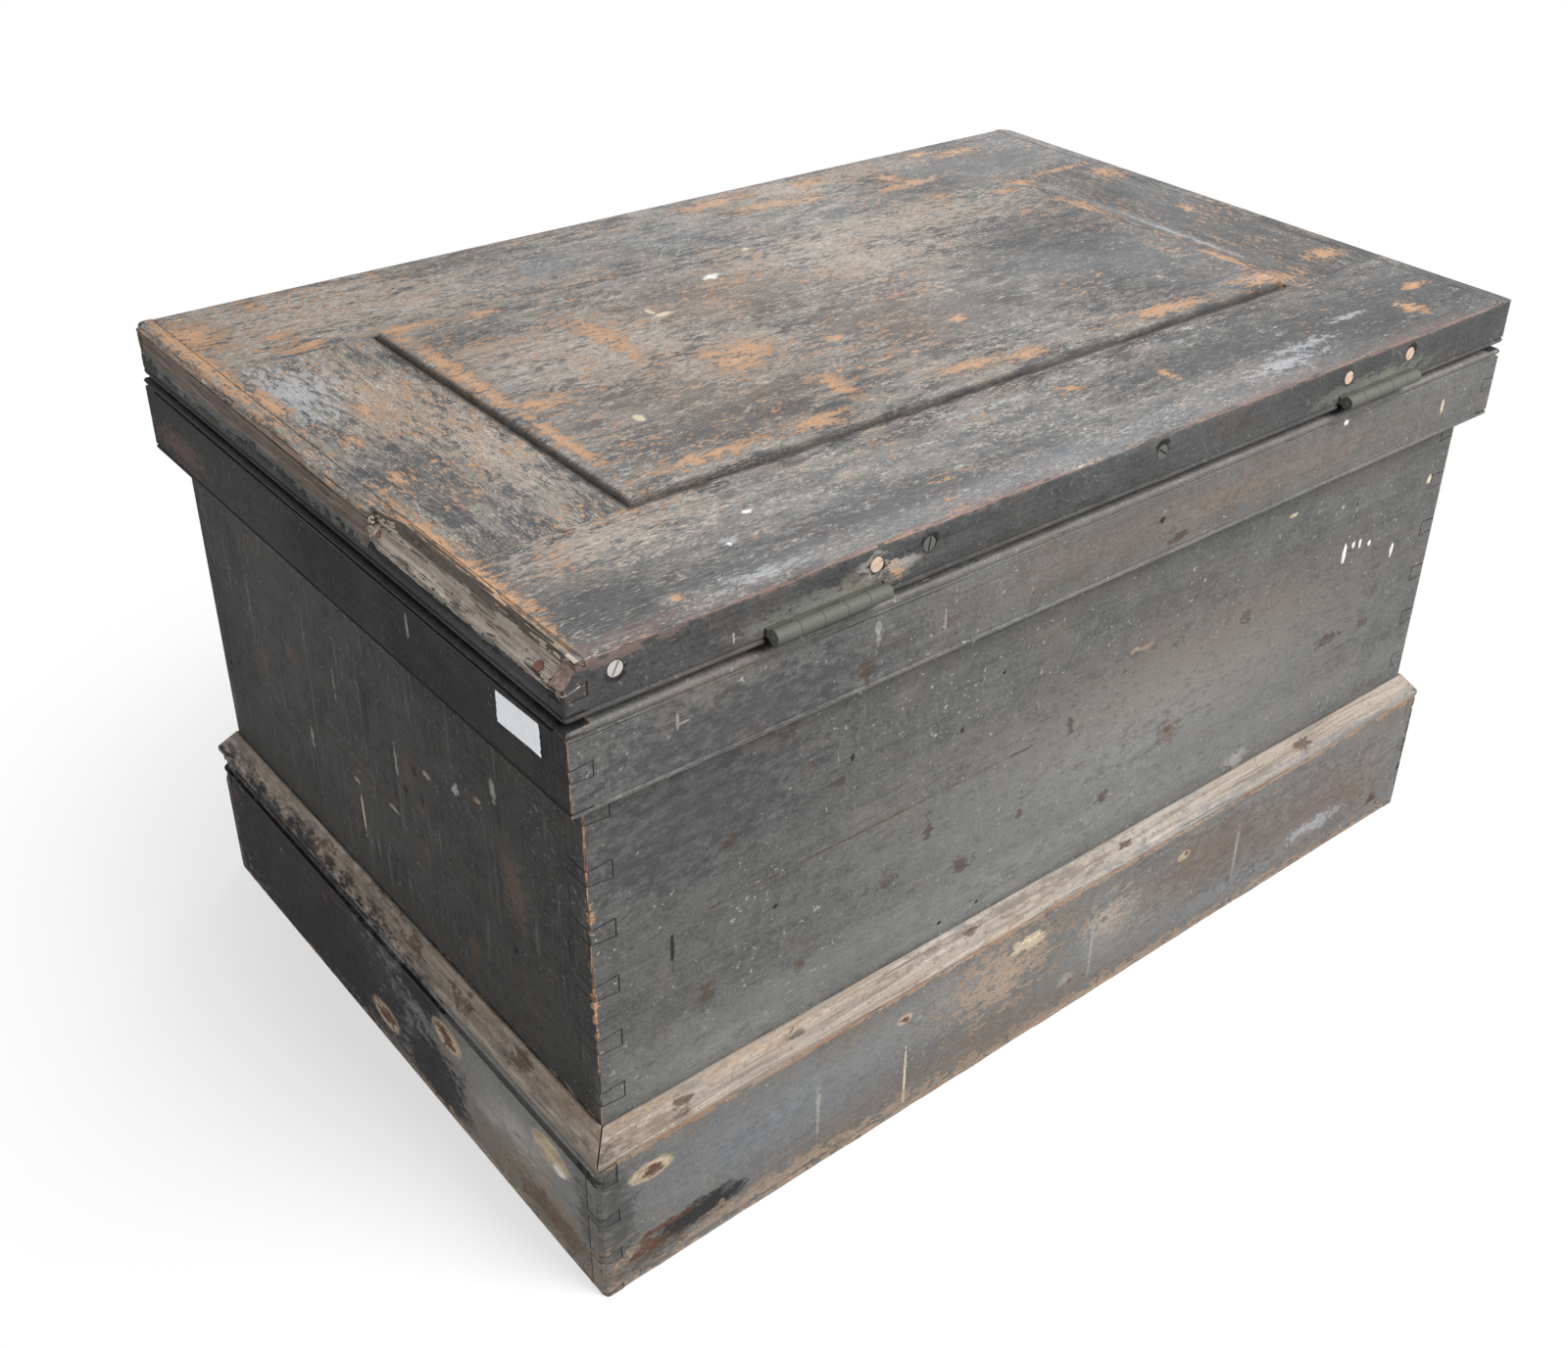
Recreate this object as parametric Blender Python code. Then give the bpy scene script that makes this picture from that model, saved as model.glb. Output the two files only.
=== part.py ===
"""Joiner's tool chest: a dovetailed case on a plinth, with a skirted frame and panel lid.

The back of the chest, where the hinges are, faces +Y, the front -Y, and +Z is up. The ends are
called left (-X) and right (+X) as seen from the front. The origin lies on the floor under the
middle of the chest's overall box. All lengths are in metres.
"""
import math
from dataclasses import dataclass

import bpy
import bmesh
from mathutils import Matrix, Vector

# Fits
FIT = 0.0003
OVERRUN = 0.004

# Lid
LID_LENGTH = 0.965
LID_WIDTH = 0.632
LID_TOP = 0.547
LID_FRAME_THICKNESS = 0.028
LID_RAIL_WIDTH = 0.1215
LID_STILE_WIDTH = 0.122
SKIRT_HEIGHT = 0.0395
SKIRT_THICKNESS = 0.016
SKIRT_BEAD_RADIUS = 0.0022
SKIRT_PIN_NECK = 0.0068
SKIRT_PIN_HEAD = 0.0092
PANEL_RISE = 0.005
PANEL_EDGE_RADIUS = 0.004
PANEL_CORNER_RADIUS = 0.006
PANEL_PLAY = 0.0006
TONGUE_LIFT = 0.011
TONGUE_THICKNESS = 0.009
TONGUE_DEPTH = 0.010

# Broken edge on the right end of the lid skirt
SPLIT_START = 0.083
SPLIT_WIDTH = 0.012
SPLIT_DEPTH = 0.0105
SPLIT_END_WIDTH = 0.009
SPLIT_TAPER_SHARE = 0.12

# Case
JOINT_OPENING = 0.0063
BAND_HEIGHT = 0.0636
BAND_THICKNESS = 0.017
BAND_SETBACK = 0.001
BAND_TOP_BEAD_RADIUS = 0.0030
BAND_FOOT_BEAD_RADIUS = 0.0021
BAND_PIN_NECK = 0.0085
BAND_PIN_HEAD = 0.0115
LONG_WALL_THICKNESS = 0.022
END_WALL_THICKNESS = 0.0195
WALL_PIN_PITCH = 0.0486
WALL_PIN_NECK = 0.0115
WALL_PIN_HEAD = 0.0145
BOTTOM_LIFT = 0.005
BOTTOM_THICKNESS = 0.0185
BOTTOM_BOARD_COUNT = 4
BOTTOM_LAP = 0.008

# Plinth
BASE_HEIGHT = 0.1325
BASE_SETBACK = 0.002
BASE_BEAD_RADIUS = 0.0065
BASE_PIN_PITCH = 0.0395
BASE_PIN_NECK = 0.0062
BASE_PIN_HEAD = 0.0105
SILL_HEIGHT = 0.022
SILL_LIP = 0.0045
SILL_FLAT = 0.0025
SILL_MITRE_GAP = 0.0008

# Hinges
HINGE_LENGTH = 0.094
HINGE_INSET = 0.1925
HINGE_LEAF_REACH = 0.042
HINGE_LEAF_THICKNESS = 0.003
HINGE_BARREL_RADIUS = 0.0055
HINGE_BARREL_STAND_OFF = 0.007
HINGE_PIN_RADIUS = 0.0024
HINGE_KNUCKLES = 5
HINGE_KNUCKLE_PLAY = 0.0008
HINGE_NOTCH_PLAY = 0.0015
HINGE_SCREW_SETBACK = 0.0085

# Lock, in the middle of the front
SELVEDGE_LENGTH = 0.100
SELVEDGE_WIDTH = 0.0185
SELVEDGE_THICKNESS = 0.003
LOCK_LENGTH = 0.078
LOCK_DEPTH = 0.056
LOCK_THICKNESS = 0.0145
LOCK_PLATE = 0.0018
STAPLE_OFFSET = 0.019
STAPLE_DROP = 0.0125
STAPLE_WIDTH = 0.0088
STAPLE_THICKNESS = 0.0040
STAPLE_LIP = 0.0020
STAPLE_EYE_HEIGHT = 0.0062
STAPLE_EYE_WIDTH = 0.0046
STAPLE_PLAY = 0.0009
LINK_LENGTH = 0.076
LINK_WIDTH = 0.0165
LINK_THICKNESS = 0.0025
BOLT_HOOK_THICKNESS = 0.0034
BOLT_BAR_HEIGHT = 0.009
BOLT_PRONG_HEIGHT = 0.0042
BOLT_PRONG_LENGTH = 0.0075
BOLT_POST_WIDTH = 0.005
BOLT_TAIL_WIDTH = 0.008
BOLT_TAIL_DROP = 0.009
BOLT_TRAVEL = 0.007
BOLT_LEAD = 0.0012
BOLT_SHELF_LENGTH = 0.012
BOLT_SHELF_THICKNESS = 0.003
KEYHOLE_RADIUS = 0.0042
KEYHOLE_SLOT = 0.0050
KEYHOLE_DROP = 0.0130
KEYHOLE_BELOW_TOP = 0.0405
ESCUTCHEON_WIDTH = 0.022
ESCUTCHEON_HEIGHT = 0.036
ESCUTCHEON_THICKNESS = 0.0014
ESCUTCHEON_PROUD = 0.0005

# Screws of the lid's skirt, and of the hinges and the lock
SKIRT_SCREW_HEAD_RADIUS = 0.0058
SKIRT_SCREW_RADIUS = 0.0028
SKIRT_SCREW_LENGTH = 0.034
FITTING_SCREW_HEAD_RADIUS = 0.0042
FITTING_SCREW_RADIUS = 0.0021
FITTING_SCREW_LENGTH = 0.0165
SCREW_SLOT_WIDTH = 0.0013
SCREW_SLOT_DEPTH = 0.0012

# Sliding tills and their runners
TILL_BOARD_THICKNESS = 0.009
TILL_BOTTOM_THICKNESS = 0.006
TILL_PIN_NECK = 0.005
TILL_PIN_HEAD = 0.008
TILL_END_PLAY = 0.0010
TILL_STOP_PLAY = 0.0020
UPPER_TILL_DEPTH = 0.200
UPPER_TILL_HEIGHT = 0.076
UPPER_TILL_PIN_PITCH = 0.035
UPPER_TILL_BELOW_TOP = 0.014
LOWER_TILL_DEPTH = 0.230
LOWER_TILL_HEIGHT = 0.092
LOWER_TILL_PIN_PITCH = 0.043
LOWER_TILL_BELOW_UPPER = 0.030
UPPER_RUNNER_THICKNESS = 0.018
LOWER_RUNNER_THICKNESS = 0.032
LOWER_RUNNER_HEIGHT = 0.060


@dataclass(frozen=True)
class Dovetail:
    """Sizes of the pins of one corner joint, counted up from the foot or down from the top."""

    pitch: float
    neck: float
    head: float
    from_top: bool = False

    def spans(self, height):
        """Lists each pin as low and high at the neck, then low and high at the head."""
        spans = [(0, self.neck / 2, 0, self.head / 2)]
        centre = self.pitch
        while centre + self.pitch / 2 < height:
            spans.append((centre - self.neck / 2, centre + self.neck / 2,
                          centre - self.head / 2, centre + self.head / 2))
            centre += self.pitch
        last = min(centre, height)
        spans.append((last - self.neck / 2, height, last - self.head / 2, height))
        if self.from_top:
            spans = [(height - high_neck, height - low_neck, height - high_head, height - low_head)
                     for low_neck, high_neck, low_head, high_head in reversed(spans)]
        return spans


WALL_JOINT = Dovetail(WALL_PIN_PITCH, WALL_PIN_NECK, WALL_PIN_HEAD, from_top=True)
BASE_JOINT = Dovetail(BASE_PIN_PITCH, BASE_PIN_NECK, BASE_PIN_HEAD)
BAND_JOINT = Dovetail(BAND_HEIGHT / 2, BAND_PIN_NECK, BAND_PIN_HEAD)
SKIRT_JOINT = Dovetail(SKIRT_HEIGHT / 2, SKIRT_PIN_NECK, SKIRT_PIN_HEAD)
UPPER_TILL_JOINT = Dovetail(UPPER_TILL_PIN_PITCH, TILL_PIN_NECK, TILL_PIN_HEAD)
LOWER_TILL_JOINT = Dovetail(LOWER_TILL_PIN_PITCH, TILL_PIN_NECK, TILL_PIN_HEAD)


@dataclass(frozen=True)
class Screw:
    """A screw turned about its own axis, with its head's top face at height zero."""

    head_radius: float
    shank_radius: float
    length: float
    sides: int = 8

    def profile(self, play=0, above=0):
        """Gives radius and height pairs from the top of the head down to the point."""
        rim = self.head_radius * SCREW_RIM_SHARE
        taper = rim + self.head_radius - self.shank_radius
        point = self.shank_radius * 2
        return [(0, above),
                (self.head_radius + play, above),
                (self.head_radius + play, -rim),
                (self.shank_radius + play, -taper),
                (self.shank_radius + play, -self.length + point - play),
                (0, -self.length - play)]


SKIRT_SCREW = Screw(SKIRT_SCREW_HEAD_RADIUS, SKIRT_SCREW_RADIUS, SKIRT_SCREW_LENGTH)
FITTING_SCREW = Screw(FITTING_SCREW_HEAD_RADIUS, FITTING_SCREW_RADIUS, FITTING_SCREW_LENGTH)

# Places of the screws along the pieces that they hold, as shares of half that piece
SKIRT_SCREW_SHARES = (-0.692, -0.520, -0.056, 0.419, 0.513, 0.926)
HINGE_SCREW_SHARES = (-0.72, 0.0, 0.72)
SELVEDGE_SCREW_SHARE = 0.89
LINK_SCREW_SHARE = 0.86
SCREW_RIM_SHARE = 0.1

# Places that follow from the sizes above
LID_UNDERSIDE = LID_TOP - LID_FRAME_THICKNESS
SKIRT_FOOT = LID_TOP - SKIRT_HEIGHT
BAND_TOP = SKIRT_FOOT - JOINT_OPENING
BAND_FOOT = BAND_TOP - BAND_HEIGHT
CASE_SETBACK = BAND_SETBACK + BAND_THICKNESS
CASE_LENGTH = LID_LENGTH - 2 * CASE_SETBACK
CASE_WIDTH = LID_WIDTH - 2 * CASE_SETBACK
WALL_TOP = LID_UNDERSIDE - FIT
WALL_FOOT = BOTTOM_LIFT + BOTTOM_THICKNESS + FIT
INNER_LENGTH = CASE_LENGTH - 2 * END_WALL_THICKNESS
INNER_WIDTH = CASE_WIDTH - 2 * LONG_WALL_THICKNESS
BASE_LENGTH = LID_LENGTH - 2 * BASE_SETBACK
BASE_WIDTH = LID_WIDTH - 2 * BASE_SETBACK
BASE_THICKNESS = CASE_SETBACK - BASE_SETBACK - FIT
HINGE_X = LID_LENGTH / 2 - HINGE_INSET
HINGE_AXIS_Y = LID_WIDTH / 2 + HINGE_BARREL_STAND_OFF
HINGE_AXIS_Z = WALL_TOP - HINGE_LEAF_THICKNESS - FIT / 2
CASE_SHIFT_Y = -(HINGE_BARREL_STAND_OFF + HINGE_BARREL_RADIUS) / 2
FRAME_LENGTH = LID_LENGTH - 2 * SKIRT_THICKNESS - 2 * FIT
FRAME_WIDTH = LID_WIDTH - 2 * SKIRT_THICKNESS - 2 * FIT
FIELD_LENGTH = FRAME_LENGTH - 2 * LID_STILE_WIDTH
FIELD_WIDTH = FRAME_WIDTH - 2 * LID_RAIL_WIDTH
UPPER_TILL_FOOT = WALL_TOP - UPPER_TILL_BELOW_TOP - UPPER_TILL_HEIGHT
LOWER_TILL_FOOT = UPPER_TILL_FOOT - LOWER_TILL_BELOW_UPPER - LOWER_TILL_HEIGHT
UPPER_TILL_LENGTH = INNER_LENGTH - 2 * TILL_END_PLAY
LOWER_TILL_LENGTH = INNER_LENGTH - 2 * UPPER_RUNNER_THICKNESS - 2 * TILL_END_PLAY
UPPER_TILL_Y = INNER_WIDTH / 2 - TILL_STOP_PLAY - UPPER_TILL_DEPTH / 2
LOWER_TILL_Y = INNER_WIDTH / 2 - TILL_STOP_PLAY - LOWER_TILL_DEPTH / 2
LOCK_FACE_Y = -INNER_WIDTH / 2
LOCK_Y = LOCK_FACE_Y - LOCK_THICKNESS / 2
LOCK_TOP = WALL_TOP - SELVEDGE_THICKNESS
LOCK_FOOT = LOCK_TOP - LOCK_DEPTH
LOCK_HALF_ROOM = LOCK_LENGTH / 2 - LOCK_PLATE
STAPLE_FOOT = LID_UNDERSIDE - STAPLE_DROP
STAPLE_EYE_Z = STAPLE_FOOT + STAPLE_LIP + STAPLE_EYE_HEIGHT / 2
BOLT_TOP = STAPLE_FOOT - STAPLE_PLAY
BOLT_FOOT = BOLT_TOP - BOLT_BAR_HEIGHT
KEYHOLE_Z = WALL_TOP - KEYHOLE_BELOW_TOP
ESCUTCHEON_Z = KEYHOLE_Z - (KEYHOLE_DROP - KEYHOLE_RADIUS) / 2
BAND_FACE_Y = -LID_WIDTH / 2 + BAND_SETBACK
ESCUTCHEON_BACK_Y = BAND_FACE_Y - ESCUTCHEON_PROUD + ESCUTCHEON_THICKNESS

# Finishes: colour, roughness, metallic
PAINTED_WOOD = ((0.105, 0.112, 0.104), 0.62, 0.0)
WORN_TOP = ((0.175, 0.165, 0.150), 0.72, 0.0)
BARE_WOOD = ((0.235, 0.185, 0.140), 0.80, 0.0)
PINE = ((0.480, 0.330, 0.190), 0.70, 0.0)
DARK_IRON = ((0.120, 0.125, 0.120), 0.48, 0.85)
BRIGHT_STEEL = ((0.560, 0.540, 0.500), 0.35, 0.95)
BRASS = ((0.560, 0.430, 0.200), 0.38, 0.95)


def clear_scene():
    """Takes every object out of the scene that the script runs in."""
    for obj in list(bpy.data.objects):
        bpy.data.objects.remove(obj, do_unlink=True)


def add_empty(name, location, parent=None):
    """Adds an empty that carries one body of the chest, on its joint's axis if it moves."""
    empty = bpy.data.objects.new(name, None)
    bpy.context.collection.objects.link(empty)
    empty.location = location
    empty.parent = parent
    return empty


def in_body(parent, location):
    """Turns a place in the chest's frame into one in the frame of the body's empty."""
    origin = parent.location if parent.parent else Vector()
    return Vector(location) - origin


def finish_material(name, finish):
    """Makes a plain material with one colour, roughness and metallic value."""
    colour, roughness, metallic = finish
    material = bpy.data.materials.new(name + "_finish")
    material.use_nodes = True
    shader = material.node_tree.nodes["Principled BSDF"]
    shader.inputs["Base Color"].default_value = (*colour, 1)
    shader.inputs["Roughness"].default_value = roughness
    shader.inputs["Metallic"].default_value = metallic
    material.diffuse_color = (*colour, 1)
    return material


def add_object(name, bm, parent, location=(0, 0, 0), turn=0, finish=None):
    """Turns a bmesh into an object of a body, at a place in the chest's frame."""
    bmesh.ops.recalc_face_normals(bm, faces=bm.faces)
    mesh = bpy.data.meshes.new(name)
    bm.to_mesh(mesh)
    bm.free()
    obj = bpy.data.objects.new(name, mesh)
    bpy.context.collection.objects.link(obj)
    obj.parent = parent
    obj.location = in_body(parent, location)
    obj.rotation_euler.z = turn
    if finish:
        mesh.materials.append(finish_material(name, finish))
    return obj


def smooth(obj, angle=math.radians(32)):
    """Shades a round piece smooth up to its sharp edges."""
    obj.data.shade_smooth()
    obj.data.set_sharp_from_angle(angle=angle)


def add_cutter(name, bm, parent, location=(0, 0, 0)):
    """Makes a hidden wire object that only cuts others."""
    cutter = add_object(name, bm, parent, location)
    cutter.hide_render = True
    cutter.display_type = 'WIRE'
    return cutter


def combine(target, cutter, operation='DIFFERENCE'):
    """Cuts or joins another object's solid into the target."""
    modifier = target.modifiers.new(cutter.name, 'BOOLEAN')
    modifier.operation = operation
    modifier.object = cutter
    modifier.solver = 'EXACT'


def loft(bm, rings):
    """Joins closed rings of equal length, with a flat cap on the first and the last."""
    loops = [[bm.verts.new(point) for point in ring] for ring in rings]
    for lower, upper in zip(loops, loops[1:]):
        count = len(lower)
        for i in range(count):
            bm.faces.new((lower[i], lower[(i + 1) % count], upper[(i + 1) % count], upper[i]))
    bm.faces.new(reversed(loops[0]))
    bm.faces.new(loops[-1])


def prism(outline, place, start, end):
    """Extrudes an outline from start to end, where place(u, v, w) gives a point in space."""
    bm = bmesh.new()
    loft(bm, [[place(u, v, w) for u, v in outline] for w in (start, end)])
    return bm


def along_x(u, v, w):
    """Puts an outline drawn in Y and Z at the place w along X."""
    return w, u, v


def along_y(u, v, w):
    """Puts an outline drawn in X and Z at the place w along Y."""
    return u, w, v


def along_z(u, v, w):
    """Puts an outline drawn in X and Y at the height w."""
    return u, v, w


def add_block(bm, low, high):
    """Adds a box with the given lowest and highest corners to a bmesh."""
    outline = [(low[0], low[1]), (high[0], low[1]), (high[0], high[1]), (low[0], high[1])]
    loft(bm, [[(x, y, z) for x, y in outline] for z in (low[2], high[2])])


def blocks(*corner_pairs):
    """Makes one bmesh that holds several separate boxes."""
    bm = bmesh.new()
    for low, high in corner_pairs:
        add_block(bm, low, high)
    return bm


def add_turned(bm, profile, sides, matrix):
    """Adds a solid turned about Z from a profile that starts and ends on the axis."""
    steps = [2 * math.pi * i / sides for i in range(sides)]
    rings = [[bm.verts.new(matrix @ Vector((radius * math.cos(a), radius * math.sin(a), height)))
              for a in steps] for radius, height in profile[1:-1]]
    for upper, lower in zip(rings, rings[1:]):
        for i in range(sides):
            bm.faces.new((upper[i], lower[i], lower[(i + 1) % sides], upper[(i + 1) % sides]))
    for (_, height), ring in ((profile[0], rings[0]), (profile[-1], rings[-1])):
        pole = bm.verts.new(matrix @ Vector((0, 0, height)))
        for i in range(sides):
            bm.faces.new((ring[i], ring[(i + 1) % sides], pole))


def aimed(place, outward):
    """Gives the matrix that stands a turned piece at a place with its head facing outward."""
    turn = Vector((0, 0, 1)).rotation_difference(Vector(outward))
    return Matrix.Translation(place) @ turn.to_matrix().to_4x4()


def add_rod(bm, radius, start, end, sides):
    """Adds a round bar along X between two places given as x, y and z."""
    steps = [2 * math.pi * i / sides for i in range(sides)]
    loft(bm, [[(x, y + radius * math.cos(a), z + radius * math.sin(a)) for a in steps]
              for x, y, z in (start, end)])


def drill(name, kind, places, parent, targets):
    """Bores the holes of a row of like screws through the pieces that they hold."""
    holes = bmesh.new()
    for place, outward in places:
        add_turned(holes, kind.profile(play=FIT, above=OVERRUN), kind.sides, aimed(place, outward))
    cutter = add_cutter(name, holes, parent)
    for target in targets:
        combine(target, cutter)


def add_screws(prefix, kind, places, parent, finish, targets):
    """Makes each screw of a row, slotted for a driver, in its hole through the pieces it holds."""
    drill(f"{prefix}_holes", kind, places, parent, targets)
    reach = kind.head_radius + OVERRUN
    low = (-reach, -SCREW_SLOT_WIDTH / 2, -SCREW_SLOT_DEPTH)
    high = (reach, SCREW_SLOT_WIDTH / 2, OVERRUN)
    for i, (place, outward) in enumerate(places, 1):
        matrix = aimed(place, outward)
        solid = bmesh.new()
        add_turned(solid, kind.profile(), kind.sides, matrix)
        screw = add_object(f"{prefix}_{i}", solid, parent, finish=finish)
        slot = blocks((low, high))
        slot.transform(matrix)
        combine(screw, add_cutter(f"{prefix}_{i}_slot", slot, parent))
        smooth(screw)


def tail_board(length, height, thickness, socket_depth, joint):
    """Makes a long board with dovetails at both ends, standing on Z zero and centred on Y."""
    reach = length / 2
    shoulder = reach - socket_depth - FIT
    side = []
    for low_neck, high_neck, low_head, high_head in joint.spans(height):
        if low_neck > 0:
            side += [(reach, low_neck - FIT), (shoulder, low_head - FIT)]
        else:
            side.append((shoulder, 0))
        if high_neck < height:
            side += [(shoulder, high_head + FIT), (reach, high_neck + FIT)]
        else:
            side.append((shoulder, height))
    outline = side + [(-x, z) for x, z in reversed(side)]
    return prism(outline, along_y, -thickness / 2, thickness / 2)


def pin_board(width, height, thickness, tail_thickness, joint):
    """Makes an end board whose pins fit between the tails, with its outer face at +X."""
    reach = width / 2
    shoulder = reach - tail_thickness - FIT

    def outline(low_index, high_index):
        side = []
        for span in joint.spans(height):
            low, high = span[low_index], span[high_index]
            side += [(shoulder, low), (reach, low)] if low > 0 else [(reach, low)]
            side += [(reach, high), (shoulder, high)] if high < height else [(reach, high)]
        return side + [(-y, z) for y, z in reversed(side)]

    bm = bmesh.new()
    outer = [(thickness / 2, y, z) for y, z in outline(0, 1)]
    inner = [(-thickness / 2, y, z) for y, z in outline(2, 3)]
    loft(bm, [outer, inner])
    return bm


def dovetailed_frame(prefix, size, foot, thicknesses, joint, parent, finish, centre_y=0):
    """Makes the four boards of a box: front and back with tails, left and right with pins."""
    length, width, height = size
    long_thickness, end_thickness = thicknesses
    boards = {}
    for side, name in ((-1, "front"), (1, "back")):
        bm = tail_board(length, height, long_thickness, end_thickness, joint)
        place = (0, centre_y + side * (width - long_thickness) / 2, foot)
        boards[name] = add_object(f"{prefix}_{name}", bm, parent, place, finish=finish)
    for side, name in ((-1, "left"), (1, "right")):
        bm = pin_board(width, height, end_thickness, long_thickness, joint)
        place = (side * (length - end_thickness) / 2, centre_y, foot)
        turn = math.pi if side < 0 else 0
        boards[name] = add_object(f"{prefix}_{name}", bm, parent, place, turn, finish)
    return boards


def edge_bead(radius, steps=5):
    """Draws what is cut away around a bead on a board's top edge, as outward and height pairs."""
    quirk = radius / 2
    sweep = math.radians(165)
    arc = [(radius * math.sin(sweep * i / steps) - radius,
            radius * math.cos(sweep * i / steps) - radius) for i in range(steps + 1)]
    foot = -2 * radius - quirk
    return [(-radius, OVERRUN)] + arc + [(arc[-1][0], foot), (OVERRUN, foot), (OVERRUN, OVERRUN)]


def add_ring(bm, length, width, section, height, flip=False):
    """Runs a section round a rectangle with mitred corners, measured outward from its faces."""
    sign = -1 if flip else 1
    loops = []
    for outward, rise in section:
        x, y, z = length / 2 + outward, width / 2 + outward, height + sign * rise
        loops.append([bm.verts.new(p) for p in ((x, y, z), (-x, y, z), (-x, -y, z), (x, -y, z))])
    count = len(loops)
    for i in range(count):
        here, there = loops[i], loops[(i + 1) % count]
        for j in range(4):
            bm.faces.new((here[j], here[(j + 1) % 4], there[(j + 1) % 4], there[j]))


def build_case(chest):
    """Makes the four dovetailed walls and the bottom boards under them."""
    size = (CASE_LENGTH, CASE_WIDTH, WALL_TOP - WALL_FOOT)
    walls = dovetailed_frame("case", size, WALL_FOOT, (LONG_WALL_THICKNESS, END_WALL_THICKNESS),
                             WALL_JOINT, chest, PAINTED_WOOD)
    pitch = CASE_LENGTH / BOTTOM_BOARD_COUNT
    half_lap = BOTTOM_THICKNESS / 2
    for i in range(BOTTOM_BOARD_COUNT):
        low = -CASE_LENGTH / 2 + i * pitch
        high = low + pitch
        lap_low = low + BOTTOM_LAP if i else low
        lap_high = high + BOTTOM_LAP if i < BOTTOM_BOARD_COUNT - 1 else high
        outline = [(low, 0), (high - FIT, 0), (high - FIT, half_lap), (lap_high - FIT, half_lap),
                   (lap_high - FIT, BOTTOM_THICKNESS), (lap_low, BOTTOM_THICKNESS),
                   (lap_low, half_lap - FIT), (low, half_lap - FIT)]
        if lap_high == high:
            outline = outline[:2] + [(high - FIT, BOTTOM_THICKNESS)] + outline[5:]
        if lap_low == low:
            outline = outline[:-2]
        bm = prism(outline, along_y, -CASE_WIDTH / 2, CASE_WIDTH / 2)
        add_object(f"bottom_board_{i + 1}", bm, chest, (0, 0, BOTTOM_LIFT), finish=PINE)
    return walls


def build_band(chest):
    """Makes the band round the top of the case, with a bead along both of its edges."""
    length, width = LID_LENGTH - 2 * BAND_SETBACK, LID_WIDTH - 2 * BAND_SETBACK
    thickness = BAND_THICKNESS - FIT
    band = dovetailed_frame("band", (length, width, BAND_HEIGHT), BAND_FOOT,
                            (thickness, thickness), BAND_JOINT, chest, PAINTED_WOOD)
    bm = bmesh.new()
    add_ring(bm, length, width, edge_bead(BAND_TOP_BEAD_RADIUS), BAND_TOP)
    add_ring(bm, length, width, edge_bead(BAND_FOOT_BEAD_RADIUS), BAND_FOOT, flip=True)
    cutter = add_cutter("band_beads", bm, chest)
    for board in band.values():
        combine(board, cutter)
    return band


def build_base(chest):
    """Makes the plinth boards and the mitred sill that slopes from them up to the case."""
    size = (BASE_LENGTH, BASE_WIDTH, BASE_HEIGHT)
    base = dovetailed_frame("base", size, 0, (BASE_THICKNESS, BASE_THICKNESS), BASE_JOINT,
                            chest, PAINTED_WOOD)
    bm = bmesh.new()
    for side in (-1, 1):
        section = [(side * (BASE_LENGTH / 2 + out), BASE_HEIGHT + rise)
                   for out, rise in edge_bead(BASE_BEAD_RADIUS)]
        loft(bm, [[(x, end * (BASE_WIDTH / 2 + OVERRUN), z) for x, z in section] for end in (-1, 1)])
    cutter = add_cutter("base_beads", bm, chest)
    combine(base["left"], cutter)
    combine(base["right"], cutter)

    depth = CASE_SETBACK - BASE_SETBACK
    section = [(FIT, 0), (depth, 0), (depth, SILL_LIP), (SILL_FLAT, SILL_HEIGHT), (FIT, SILL_HEIGHT)]
    for name, turn, run, face in (("front", math.pi, CASE_LENGTH, CASE_WIDTH),
                                  ("back", 0, CASE_LENGTH, CASE_WIDTH),
                                  ("left", math.pi / 2, CASE_WIDTH, CASE_LENGTH),
                                  ("right", -math.pi / 2, CASE_WIDTH, CASE_LENGTH)):
        bm = bmesh.new()
        loft(bm, [[(side * (run / 2 + out - SILL_MITRE_GAP), face / 2 + out, rise)
                   for out, rise in section] for side in (-1, 1)])
        add_object(f"sill_{name}", bm, chest, (0, 0, BASE_HEIGHT + FIT), turn, BARE_WOOD)


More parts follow.
